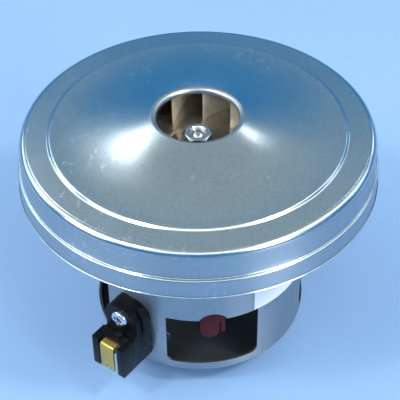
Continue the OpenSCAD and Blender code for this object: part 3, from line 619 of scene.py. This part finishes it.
# The can's inside: the same sheet painted near-black, which is painted shade
can_inside_painted_shade = sheet_steel("can_inside_painted_shade", (0.031, 0.041, 0.045), rough=0.6, cell=170, metallic=0.2)
cut_edge = plain_metal("cut_edge", (0.66, 0.66, 0.64), rough=0.35)
bridge_steel = sheet_steel("bridge_steel", (0.45, 0.47, 0.49), rough=0.36, cell=200)
zinc_screw = plain_metal("zinc_screw", (0.72, 0.76, 0.82), rough=0.2)
zinc_nut = plain_metal("zinc_nut", (0.50, 0.545, 0.575), rough=0.22, grain=500)
dark_plastic = plastic("dark_plastic", (0.05, 0.05, 0.054), rough=0.42)
black_plastic = plastic("black_plastic", (0.008, 0.008, 0.009), rough=0.28, specular=0.13)
red_plastic = plastic("red_plastic", (0.085, 0.012, 0.013), rough=0.45, specular=0.12)
brass_strip = plain_metal("brass_strip", (0.69, 0.465, 0.115), rough=0.34, grain=1200,
                          stretch=(1, 1, 0.1), metallic=0.8)
cage_brass = plain_metal("cage_brass", (0.66, 0.5, 0.2), rough=0.34)
bearing_steel = plain_metal("bearing_steel", (0.66, 0.67, 0.68), rough=0.14)
shaft_steel = plain_metal("shaft_steel", (0.56, 0.57, 0.58), rough=0.2, grain=1500, stretch=(0.2, 0.2, 1))
spring_steel = plain_metal("spring_steel", (0.5, 0.5, 0.5), rough=0.28)
lamination_steel = layered("lamination_steel", (0.16, 0.16, 0.17), rough=0.42)
copper_winding = wound("copper_winding", (0.5, 0.19, 0.075), rough=0.3)
commutator_copper = plain_metal("commutator_copper", (0.66, 0.32, 0.17), rough=0.25, grain=1400,
                                stretch=(0.15, 0.15, 1))
brown_phenolic = plastic("brown_phenolic", (0.12, 0.06, 0.03), rough=0.4)
fan_aluminium = plain_metal("fan_aluminium", (0.92, 0.82, 0.66), rough=0.34, grain=500, metallic=0.35)
fan_sheet = plain_metal("fan_sheet", (0.8, 0.74, 0.65), rough=0.22, grain=500, metallic=0.96)
carbon = plastic("carbon", (0.03, 0.03, 0.033), rough=0.6)
label_paper = paper("label_paper", (0.9, 0.9, 0.89), rough=0.5)

# Plain forms: slot, material, width of the rounded edge, nodes
FORMS = (
    ("bridge_steel", bridge_steel, 0.25, ["bearing_bridge"]),
    ("dark_plastic", dark_plastic, 0.15, ["diffuser"]),
    ("zinc_screw", zinc_screw, 0.15, ["diffuser_screws", "bridge_screws"]),
    ("bearing_steel", bearing_steel, 0.25, ["upper_bearing_outer_ring", "lower_bearing_outer_ring",
                                            "upper_bearing_inner_ring", "lower_bearing_inner_ring"]),
    ("cage_brass", cage_brass, 0.1, ["upper_bearing_cage", "lower_bearing_cage"]),
    ("lamination_steel", lamination_steel, 0.12, ["stator_core", "armature_core"]),
    ("red_plastic", red_plastic, 0.25, ["upper_stator_insulator", "lower_stator_insulator"]),
    ("commutator_copper", commutator_copper, 0.1, ["commutator_bars"]),
    ("brown_phenolic", brown_phenolic, 0.2, ["commutator_hub"]),
    ("fan_aluminium", fan_sheet, 0.15, ["impeller_back_disc", "impeller_front_disc", "fan_washer"]),
    ("fan_aluminium", fan_aluminium, 0.15, ["fan_spacer", "impeller_blades"]),
    ("zinc_nut", zinc_nut, 0.15, ["lock_washer"]),
    ("brass_strip", brass_strip, 0.15, ["left_brush_tube", "right_brush_tube"]),
    ("carbon", carbon, 0.2, ["left_carbon_brush", "right_carbon_brush"]),
)
for slot, material, width, names in FORMS:
    for name in names:
        piece(rounded(name, width), material, name, angle=30)
for name in ("upper_bearing_balls", "lower_bearing_balls"):
    mesh = frame["nodes"][name].data
    mesh.materials.clear()
    mesh.materials.append(bearing_steel)

# Cover


def crown(r):
    return CROWN_Z + (CREST_Z - CROWN_Z) * ((BEAD_R - r) / (BEAD_R - CREST_R)) ** 2


def bead(share):
    return PLATE_Z + (CROWN_Z - PLATE_Z) * (1 + math.cos(math.pi * share)) / 2


def cover_face(drop):
    """Crown and pressed step, from the lip outward."""
    rings = [CROWN_START + (BEAD_R - CROWN_START) * i / CROWN_STEPS for i in range(CROWN_STEPS)]
    shares = [i / BEAD_STEPS for i in range(BEAD_STEPS + 1)]
    return [(r, crown(r) - drop) for r in rings] + [(BEAD_R + BEAD_W * u, bead(u) - drop) for u in shares]


cover_outline = ([(EYE_R, LIP_Z)]
                 + arc(CREST_R, CREST_Z - LIP_ROLL, LIP_ROLL, 180, 90)
                 + cover_face(0)
                 + arc(DRUM_R - DRUM_ROUND, PLATE_Z - DRUM_ROUND, DRUM_ROUND, 90, 0)
                 + arc(DRUM_R + SHOULDER_FILLET, SHOULDER_Z + SHOULDER_FILLET, SHOULDER_FILLET, 180, 270, 4)
                 + arc(SKIRT_WALL - SHOULDER_ROUND, SHOULDER_Z - SHOULDER_ROUND, SHOULDER_ROUND, 90, 0, 8)
                 + arc(SKIRT_R, SKIRT_Z + SKIRT_EDGE + FLARE, FLARE, 180, 250, 5)
                 + arc(SKIRT_R - SKIRT_EDGE, SKIRT_Z + SKIRT_EDGE, SKIRT_EDGE, 60, -90, 5)
                 + [(SKIRT_R - SHEET, SKIRT_Z), (SKIRT_WALL - SHEET, SKIRT_Z + FLARE_H)]
                 + [(SKIRT_WALL - SHEET, SHOULDER_Z - SHEET), (DRUM_R - SHEET, SHOULDER_Z - SHEET)]
                 + arc(DRUM_R - DRUM_ROUND, PLATE_Z - DRUM_ROUND, DRUM_ROUND - SHEET, 0, 90)
                 + cover_face(SHEET)[::-1]
                 + arc(CREST_R, CREST_Z - LIP_ROLL, LIP_ROLL - SHEET, 90, 180)
                 + [(EYE_R + SHEET, LIP_Z)])
cover = lathe("cover_sheet", cover_outline, steps=288)


# Materials of the cover in their order: plain sheet, rolled lip, upright walls of drum and skirt; lip and
# walls are the same sheet made darker, as painted shade
PLAIN, LIP, WALL = range(3)
WALL_START = DRUM_R - 1
WALL_LEAN = 0.4


def cover_finish(face):
    r = math.hypot(face.center.x, face.center.y) / MM
    if r < CROWN_START:
        return LIP
    return WALL if r > WALL_START and abs(face.normal.z) < WALL_LEAN else PLAIN


finishes = [cover_finish(face) for face in cover.data.polygons]
piece(cover, galvanised_sheet, "fan_cover", more=(lip_sheet_painted_shade, drawn_wall_painted_shade))
cover.data.polygons.foreach_set("material_index", finishes)

# Housing


def window(name, angle, notched):
    rise = math.degrees(math.asin((NOTCH_R - NOTCH_H) / NOTCH_R))
    notch = arc(0, WINDOW_TOP + NOTCH_H - NOTCH_R, NOTCH_R, rise, 180 - rise, 24)
    side = WINDOW_HALF - WINDOW_ROUND
    outline = ([(WINDOW_HALF, WINDOW_TOP)]
               + (notch if notched else [])
               + [(-WINDOW_HALF, WINDOW_TOP)]
               + arc(-side, WINDOW_Z + WINDOW_ROUND, WINDOW_ROUND, 180, 270, 8)
               + arc(side, WINDOW_Z + WINDOW_ROUND, WINDOW_ROUND, 270, 360, 8))
    return outward(name, outline, CAN_BORE - WINDOW_REACH_IN, HOUSING_R + WINDOW_REACH_OUT, angle)


# Materials of the housing in their order: outside (a darker sheet, as painted shade), inside painted
# near-black as painted shade, cut edges of its openings
OUTSIDE, INSIDE, CUT_EDGE = range(3)
EDGE_MARGIN = 0.05
EDGE_LEAN = 0.7
INSIDE_MARGIN = 0.1
INSIDE_LEAN = 0.3


def housing_finish(face):
    middle = face.center / MM
    r = math.hypot(middle.x, middle.y)
    facing = (face.normal.x * middle.x + face.normal.y * middle.y) / max(r, 1e-6)
    in_sheet = CAN_BORE + EDGE_MARGIN < r < HOUSING_R - EDGE_MARGIN
    in_wall = FLOOR_Z + CAN_SHEET < middle.z < FLANGE_Z + CAN_SHEET / 2
    if in_sheet and in_wall and abs(facing) < EDGE_LEAN:
        return CUT_EDGE
    in_can = r < CAN_BORE + INSIDE_MARGIN and FLOOR_Z + CAN_SHEET / 2 < middle.z < FLANGE_Z
    turned_in = facing < -INSIDE_LEAN or face.normal.z > INSIDE_LEAN
    return INSIDE if in_can and turned_in else OUTSIDE


def round_walls(mesh, near=0.1, lean=0.1):
    """The straight wall shades as a true cylinder, also beside the cut windows."""
    normals = [(0.0, 0.0, 0.0)] * len(mesh.loops)
    for face in mesh.polygons:
        corners = [mesh.vertices[i].co / MM for i in face.vertices]
        distances = [math.hypot(at.x, at.y) for at in corners]
        on_wall = (all(abs(r - HOUSING_R) < near for r in distances)
                   or all(abs(r - CAN_BORE) < near for r in distances))
        low = min(at.z for at in corners)
        high = max(at.z for at in corners)
        straight = low >= FOOT_Z - near and high <= FLANGE_Z + CAN_SHEET + near
        if not on_wall or not straight or abs(face.normal.z) > lean:
            continue
        side = math.copysign(1, face.normal.x * face.center.x + face.normal.y * face.center.y)
        for loop, at, r in zip(face.loop_indices, corners, distances):
            normals[loop] = (side * at.x / r, side * at.y / r, 0.0)
    mesh.normals_split_custom_set(normals)


flange_corner = FLANGE_R - FLANGE_ROUND
boss_bore = BOSS_R - CAN_SHEET
housing_outline = ([(TAIL_HOLE_R, 0.0)]
                   + arc(BOSS_R - BOSS_ROUND, BOSS_ROUND, BOSS_ROUND, -90, 0, 6)
                   + arc(BOSS_R + BOSS_FILLET, FLOOR_Z - BOSS_FILLET, BOSS_FILLET, 180, 90, 4)
                   + arc(HOUSING_R - FOOT_ROUND, FOOT_Z, FOOT_ROUND, -90, 0)
                   + arc(HOUSING_R + FLANGE_FILLET, FLANGE_Z - FLANGE_FILLET, FLANGE_FILLET, 180, 90, 5)
                   + arc(flange_corner, FLANGE_Z + FLANGE_ROUND, FLANGE_ROUND, -90, 0, 8)
                   + [(FLANGE_R, FLANGE_TOP), (FLANGE_R - CAN_SHEET, FLANGE_TOP)]
                   + arc(flange_corner, FLANGE_Z + FLANGE_ROUND, FLANGE_ROUND - CAN_SHEET, 0, -90, 6)
                   + [(CAN_BORE, FLANGE_Z + CAN_SHEET)]
                   + arc(HOUSING_R - FOOT_ROUND, FOOT_Z, FOOT_ROUND - CAN_SHEET, 0, -90)
                   + [(boss_bore, FLOOR_Z + CAN_SHEET), (boss_bore, CAN_SHEET), (TAIL_HOLE_R, CAN_SHEET)])
housing = lathe("can", housing_outline, steps=240)
for i in range(4):
    cut(housing, window("window_tool", WINDOW_ANGLE + 90 * i, i % 2 == 0))
hole_outline = [(0, FLOOR_Z - 1), (FLOOR_HOLE_R, FLOOR_Z - 1), (FLOOR_HOLE_R, FLOOR_Z + 2), (0, FLOOR_Z + 2)]
neck_room = NECK_HALF_H + NECK_GAP
for angle in (BRUSH_ANGLE, BRUSH_ANGLE + 180):
    spot = heading(angle + FLOOR_HOLE_TURN) @ Vector((FLOOR_HOLE_AT * MM, 0, 0))
    cut(housing,
        block("neck_tool", angle, start=28, end=44, width=NECK_W + 2 * NECK_GAP,
              low=BRUSH_Z - neck_room, high=BRUSH_Z + neck_room),
        lathe("floor_hole", hole_outline, steps=48, place=Matrix.Translation(spot)))
finishes = [housing_finish(face) for face in housing.data.polygons]
piece(housing, can_sheet, "motor_housing", angle=40, more=(can_inside_painted_shade, cut_edge))
housing.data.polygons.foreach_set("material_index", finishes)
round_walls(housing.data)

# Rating label, left blank


def label_sheet():
    bm = bmesh.new()
    rows = []
    for k in range(LABEL_STEPS + 1):
        turn = math.radians(LABEL_ANGLE - 90 + LABEL_SPAN * k / LABEL_STEPS)
        edges = ((LABEL_IN, LABEL_Z), (LABEL_IN, LABEL_TOP), (LABEL_OUT, LABEL_TOP), (LABEL_OUT, LABEL_Z))
        rows.append([bm.verts.new(polar(r, turn, z)) for r, z in edges])
    for a, b in zip(rows, rows[1:]):
        for j in range(4):
            n = (j + 1) % 4
            bm.faces.new((a[j], a[n], b[n], b[j]))
    bm.faces.new(rows[0])
    bm.faces.new(rows[-1])
    return shape("label_sheet", bm)


piece(label_sheet(), label_paper, "rating_label")

# Brush gear, one set on each side


def brush_holder(name, angle):
    lug = ([(-LUG_HALF, HOLDER_Z), (LUG_HALF, HOLDER_Z)]
           + arc(LUG_HALF - LUG_RIGHT_ROUND, LUG_TOP - LUG_RIGHT_ROUND, LUG_RIGHT_ROUND, 0, 90, 18)
           + arc(LUG_LEFT_ROUND - LUG_HALF, LUG_TOP - LUG_LEFT_ROUND, LUG_LEFT_ROUND, 90, 180, 14))
    body = outward(name, lug, CAN_BORE, LUG_FACE, angle)
    join(body, block("box", angle, CAN_BORE, BOX_FACE, BOX_W, HOLDER_Z, BOX_TOP, BOX_SHIFT))
    can_r = HOUSING_R + CAN_GAP
    cut(body, lathe("can_tool", [(0, 0), (can_r, 0), (can_r, 60), (0, 60)], steps=240))
    join(body, block("neck", angle, NECK_START, NECK_END, NECK_W,
                     BRUSH_Z - NECK_HALF_H, BRUSH_Z + NECK_HALF_H))
    join(body,
         block("left_cheek", angle, CHEEK_START, CHEEK_FACE, CHEEK_W, HOLDER_Z, CHEEK_TOP, -CHEEK_SHIFT),
         block("right_cheek", angle, CHEEK_START, CHEEK_FACE, CHEEK_W, HOLDER_Z, CHEEK_TOP, CHEEK_SHIFT))
    join(body, block("roof", angle, CHEEK_START, ROOF_FACE, ROOF_W, ROOF_Z, BOX_TOP))
    groove_end = LUG_FACE - LUG_PLATE
    cut(body,
        block("tube_room", angle, start=30, end=TUBE_ROOM_END, width=TUBE_ROOM_W,
              low=BRUSH_Z - TUBE_ROOM_HALF_H, high=BRUSH_Z + TUBE_ROOM_HALF_H),
        block("tab_room", angle, start=50, end=52, width=TAB_ROOM_W, low=16, high=TAB_ROOM_TOP),
        block("side_groove", angle, start=groove_end - GROOVE_W, end=groove_end, width=2 * GROOVE_DEPTH,
              low=BOX_TOP, high=45, shift=LUG_HALF))
    screw_circle = arc(0, SCREW_Z, SCREW_ROOM_R, 0, 360, 32)[:-1]
    cut(body, outward("screw_room", screw_circle, start=40, end=50, angle=angle))
    bevel(body, HOLDER_EDGE, segments=3)
    knob = ([(0, KNOB_Z), (KNOB_R, KNOB_Z)]
            + arc(KNOB_R - KNOB_ROUND, KNOB_TOP - KNOB_ROUND, KNOB_ROUND, 0, 90, 4)
            + [(0, KNOB_TOP)])
    spot = heading(angle) @ Vector((KNOB_AT * MM, KNOB_SHIFT * MM, 0))
    return merged(name, body, lathe(name + "_knob", knob, steps=32, place=Matrix.Translation(spot)))


def terminal(name, angle):
    """A brass strip, folded over at the top, with a notch in the end of its tab."""
    leg_bend = LEG_FACE + STRIP_BEND
    tab_bend = TAB_FACE - STRIP_BEND
    inner_bend = STRIP_BEND - STRIP_T
    outline = ([(LEG_FACE, LEG_Z)]
               + arc(leg_bend, BEND_Z, STRIP_BEND, 180, 90, 6)
               + arc(tab_bend, BEND_Z, STRIP_BEND, 90, 0, 6)
               + [(TAB_FACE, TAB_Z), (TAB_FACE - STRIP_T, TAB_Z)]
               + arc(tab_bend, BEND_Z, inner_bend, 0, 90, 4)
               + arc(leg_bend, BEND_Z, inner_bend, 90, 180, 4)
               + [(LEG_FACE + STRIP_T, LEG_Z)])
    strip = prism(name, outline, -STRIP_HALF, STRIP_HALF, SIDEWAYS, heading(angle))
    cut(strip, block("notch", angle, start=57, end=60, width=TAB_NOTCH_W, low=18, high=TAB_NOTCH_TOP))
    return bevel(strip, STRIP_EDGE, angle=30)


def cross_screw(name, angle):
    """A pan-head screw with a cross recess, turned outward."""
    top = LUG_FACE + HEAD_H
    tip = LUG_FACE - SCREW_L
    outline = ([(0, tip), (SCREW_R - SCREW_TIP, tip), (SCREW_R, tip + SCREW_TIP)]
               + [(SCREW_R, LUG_FACE), (HEAD_R, LUG_FACE)]
               + arc(HEAD_R - HEAD_ROUND, top - HEAD_ROUND, HEAD_ROUND, 0, 90, 8)
               + [(0, top)])
    lying = Matrix.Translation((0, 0, SCREW_Z * MM)) @ Matrix.Rotation(math.radians(90), 4, "Y")
    screw = lathe(name, outline, steps=48, place=heading(angle) @ lying)
    for width, height in ((RECESS_L, RECESS_W), (RECESS_W, RECESS_L)):
        cut(screw, block("recess", angle, top - RECESS_DEPTH, top + 1, width,
                         SCREW_Z - height / 2, SCREW_Z + height / 2))
    return bevel(screw, SCREW_EDGE, angle=50)


def spring(name, angle):
    bm = bmesh.new()
    count = SPRING_TURNS * SPRING_STEPS
    length = SPRING_END - SPRING_START - 2 * SPRING_WIRE
    points = []
    for i in range(count + 1):
        a = TURN * i / SPRING_STEPS
        out = SPRING_START + SPRING_WIRE + length * i / count
        points.append(Vector((out, SPRING_R * math.sin(a), BRUSH_Z + SPRING_R * math.cos(a))))
    add_tube(bm, points, SPRING_WIRE, sides=12)
    return shape(name, bm, heading(angle))


for side, angle in (("left", BRUSH_ANGLE), ("right", BRUSH_ANGLE + 180)):
    piece(brush_holder(side + "_holder_body", angle), black_plastic,
          side + "_brush_holder", angle=40)
    piece(terminal(side + "_tab", angle), brass_strip, side + "_brush_terminal", angle=40)
    coil = piece(spring(side + "_spring_wire", angle), spring_steel,
                 side + "_brush_spring", angle=60)
    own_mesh(coil)
screws = merged("pan_screws",
                cross_screw("left_screw", BRUSH_ANGLE),
                cross_screw("right_screw", BRUSH_ANGLE + 180))
piece(screws, zinc_screw, "holder_screws", angle=45)

# Windings of enamelled wire


def coil_line(half, low, high, bend):
    """A closed rectangle with round corners, in short stretches."""
    side = half - bend
    corners = (arc(side, low + bend, bend, 270, 360, 5)
               + arc(side, high - bend, bend, 0, 90, 5)
               + arc(-side, high - bend, bend, 90, 180, 5)
               + arc(-side, low + bend, bend, 180, 270, 5))
    line = []
    for (a, b), (c, d) in zip(corners, corners[1:] + corners[:1]):
        count = max(1, int(math.hypot(c - a, d - b) / FIELD_STRETCH))
        line += [(a + (c - a) * i / count, b + (d - b) * i / count) for i in range(count)]
    return line


def field_coil(name, angle):
    """Wire loops round a pole, on the outside of the bundle."""
    bm = bmesh.new()
    for layer in range(FIELD_LAYERS):
        r = FIELD_R + FIELD_DEPTH * layer / (FIELD_LAYERS - 1)
        for row in range(FIELD_ROWS):
            if 0 < layer < FIELD_LAYERS - 1 and 0 < row < FIELD_ROWS - 1:
                continue
            share = (FIELD_ROW_START + FIELD_ROW_SPAN * row / (FIELD_ROWS - 1)) / FIELD_W
            half = r * math.radians(FIELD_ANGLE + FIELD_SPREAD * share)
            line = coil_line(half, FIELD_Z - FIELD_W * share, FIELD_TOP + FIELD_W * share,
                             FIELD_BEND + FIELD_BEND_MORE * share)
            add_tube(bm, [polar(r, s / r, z) for s, z in line], FIELD_WIRE, sides=6, closed=True)
    return shape(name, bm, heading(angle))


def crossing(start, end, reach, layer):
    """One wire from slot to slot, bulging inward and away from the core on its way."""
    inward = COIL_BULGE - COIL_BULGE_STEP * layer
    share = COIL_SHARE + COIL_SHARE_STEP * layer
    points = []
    for k in range(COIL_STEPS + 1):
        u = k / COIL_STEPS
        bulge = math.sin(math.pi * u)
        r = COIL_R - COIL_R_STEP * layer - inward * bulge ** COIL_BULGE_POWER
        z = end + reach * share * bulge ** COIL_SHARE_POWER + reach * COIL_CLIMB * u
        points.append(polar(r, start + TURN * COIL_SPAN / SLOTS * u, z))
    return points


def armature_winding():
    """Wire bundles in the slots, crossing over at both ends of the core."""
    bm = bmesh.new()
    ends = ((STACK_Z - COIL_LIFT, LOWER_REACH), (STACK_TOP + COIL_LIFT, UPPER_REACH))
    for i in range(SLOTS):
        start = TURN * i / SLOTS
        heights = (STACK_Z - SLOT_REACH, STACK_TOP + SLOT_REACH)
        add_tube(bm, [polar(SLOT_R, start, z) for z in heights], SLOT_BUNDLE_R, sides=8)
        for end, reach in ends:
            for layer in range(COIL_LAYERS):
                add_tube(bm, crossing(start, end, reach, layer), COIL_WIRE, sides=6)
    return shape("armature_wires", bm)


for side, angle in (("front", WINDOW_ANGLE), ("rear", WINDOW_ANGLE + 180)):
    piece(field_coil(side + "_coil_wires", angle), copper_winding,
          side + "_field_coil", angle=60)
piece(armature_winding(), copper_winding, "armature_winding", angle=60)

# Nut and shaft


def hexagon(flats):
    r = flats / 2 / math.cos(math.radians(30))
    turns = [math.radians(60 * k) for k in range(6)]
    return [(r * math.cos(a), r * math.sin(a)) for a in turns]


def fan_nut():
    """A hexagon nut with a chamfer round its top and a countersunk bore."""
    nut = prism("nut", hexagon(NUT_FLATS), NUT_Z, NUT_TOP)
    below = NUT_Z - 1
    above = NUT_TOP + 1
    drop = (NUT_OUTER_R - NUT_FACE_R) * math.tan(math.radians(30))
    dome = [(0, below), (NUT_OUTER_R, below), (NUT_OUTER_R, NUT_TOP - drop),
            (NUT_FACE_R, NUT_TOP), (0, NUT_TOP)]
    cut(nut, lathe("nut_dome", dome, steps=96), operation="INTERSECT")
    mouth_z = NUT_TOP - NUT_MOUTH_DEPTH
    mouth_top = mouth_z + NUT_MOUTH_R - NUT_BORE_R
    bore = [(0, below), (NUT_BORE_R, below), (NUT_BORE_R, mouth_z), (NUT_MOUTH_R, mouth_top),
            (NUT_MOUTH_R, above), (0, above)]
    cut(nut, lathe("nut_bore", bore, steps=96))
    return bevel(nut, NUT_EDGE, angle=25)


def shaft_bar():
    """The shaft with its journals, its thread and the dome on its end."""
    chamfer_r = JOURNAL_R - SHAFT_CHAMFER
    dome_r = DOME_R / math.sin(DOME_RADIANS)
    dome_turns = [DOME_RADIANS * (1 - i / DOME_STEPS) for i in range(DOME_STEPS)]
    outline = [(0, SHAFT_Z), (chamfer_r, SHAFT_Z), (JOURNAL_R, SHAFT_Z + SHAFT_CHAMFER), (JOURNAL_R, CORE_Z),
               (CORE_R, CORE_Z), (CORE_R, CORE_TOP), (JOURNAL_R, CORE_TOP), (JOURNAL_R, THREAD_Z),
               (THREAD_R, THREAD_Z)]
    for i in range(THREAD_TURNS):
        z = THREAD_Z + THREAD_LEAD + THREAD_PITCH * i
        outline += [(THREAD_R, z), (THREAD_ROOT_R, z + THREAD_FALL)]
    outline += [(THREAD_R, SHAFT_TOP - THREAD_END), (DOME_EDGE_R, SHAFT_TOP - DOME_DEPTH)]
    outline += [(dome_r * math.sin(a), SHAFT_TOP - dome_r * (1 - math.cos(a))) for a in dome_turns]
    return lathe("shaft_bar", outline + [(0, SHAFT_TOP)], steps=96)


piece(fan_nut(), zinc_nut, "fan_nut", angle=28)
piece(shaft_bar(), shaft_steel, "shaft", angle=30)

# Studio, in metres: floor, sky, soft lamps and the photograph's camera
FLOOR_HALF = 4
FLOOR_COLOUR = (0.275, 0.45, 0.71)
floor_mesh = bpy.data.meshes.new("floor")
floor_corners = [(-FLOOR_HALF, -FLOOR_HALF, 0), (FLOOR_HALF, -FLOOR_HALF, 0),
                 (FLOOR_HALF, FLOOR_HALF, 0), (-FLOOR_HALF, FLOOR_HALF, 0)]
floor_mesh.from_pydata(floor_corners, [], [(0, 1, 2, 3)])
floor_mesh.materials.append(Paint("floor", FLOOR_COLOUR, rough=0.7).material)
linked("floor", floor_mesh)

# Colours of the sky by height, from the horizon to the zenith
SKY = ((0.0, (0.30, 0.50, 0.80)), (0.06, (0.045, 0.25, 0.54)), (0.34, (0.05, 0.25, 0.52)),
       (0.54, (0.13, 0.30, 0.52)), (0.7, (0.37, 0.46, 0.51)), (1.0, (0.38, 0.43, 0.46)))
world = bpy.data.worlds.new("studio")
bpy.context.scene.world = world
world.use_nodes = True
nodes = world.node_tree.nodes
links = world.node_tree.links
direction = nodes.new("ShaderNodeTexCoord")
parts = nodes.new("ShaderNodeSeparateXYZ")
sky = nodes.new("ShaderNodeValToRGB")
links.new(direction.outputs["Generated"], parts.inputs["Vector"])
links.new(parts.outputs["Z"], sky.inputs["Fac"])
links.new(sky.outputs["Color"], nodes["Background"].inputs["Color"])
while len(sky.color_ramp.elements) < len(SKY):
    sky.color_ramp.elements.new(0.5)
for stop, (position, colour) in zip(sky.color_ramp.elements, SKY):
    stop.position = position
    stop.color = (*colour, 1)

# Lamps: name, heading, elevation, distance, width, height, power
LAMPS = (
    ("rear_left", -150.3, 45.4, 1.2, 0.13, 0.24, 0.36),
    ("rear_left_glow", -151.5, 45.4, 1.3, 0.34, 0.44, 0.14),
    ("side_left", -135, 22, 1.3, 0.25, 0.3, 0.5),
    ("side_right", 135, 22, 1.3, 0.25, 0.3, 0.4),
    ("rear_right", 146.6, 45.4, 1.2, 0.05, 0.13, 0.11),
    ("edge_left", -112, 32, 1.3, 0.7, 0.8, 3.2),
    ("edge_right", 112, 32, 1.3, 0.5, 0.6, 1.2),
    ("front_top", 0, 48, 1.3, 1.1, 0.35, 2.2),
    ("eye_right", 60, 50, 1.2, 0.14, 0.14, 5.2),
    ("eye_left", -52, 54, 1.2, 0.14, 0.14, 3.4),
    ("front_left", -75, 50, 1.3, 1.1, 0.45, 3.5),
    ("front_right", 75, 50, 1.3, 1.1, 0.45, 3.0),
    ("low_left", -70, 30, 1.5, 0.6, 0.5, 4.0),
    ("low_right", 42, 28, 1.5, 0.5, 0.5, 7.5),
)
AIM = Vector((0, 0, 0.09))
for name, angle, elevation, distance, width, height, power in LAMPS:
    lamp = bpy.data.lights.new(name, "AREA")
    lamp.shape = "RECTANGLE"
    lamp.size = width
    lamp.size_y = height
    lamp.energy = power
    a = math.radians(angle)
    e = math.radians(elevation)
    toward = Vector((math.sin(a) * math.cos(e), -math.cos(a) * math.cos(e), math.sin(e)))
    softbox = linked(name, lamp)
    softbox.location = AIM + distance * toward
    softbox.rotation_euler = (AIM - softbox.location).to_track_quat("-Z", "Y").to_euler()

# Camera: its place and its axes to the right, up and back
CAMERA_AT = Vector((0, -0.34583, 0.37159))
CAMERA_RIGHT = Vector((0.99988453, -0.01079305, -0.01069723))
CAMERA_UP = Vector((0.01516821, 0.66626039, 0.7455649))
CAMERA_BACK = Vector((-0.00092008, -0.74564106, 0.66634717))
camera = bpy.data.cameras.new("camera")
camera.sensor_width = 36
camera.lens = 107.9
viewer = linked("camera", camera)
axes = Matrix((CAMERA_RIGHT, CAMERA_UP, CAMERA_BACK)).transposed().to_4x4()
viewer.matrix_world = Matrix.Translation(CAMERA_AT) @ axes
bpy.context.scene.camera = viewer
bpy.context.scene.view_settings.view_transform = "Standard"

bpy.context.view_layer.update()
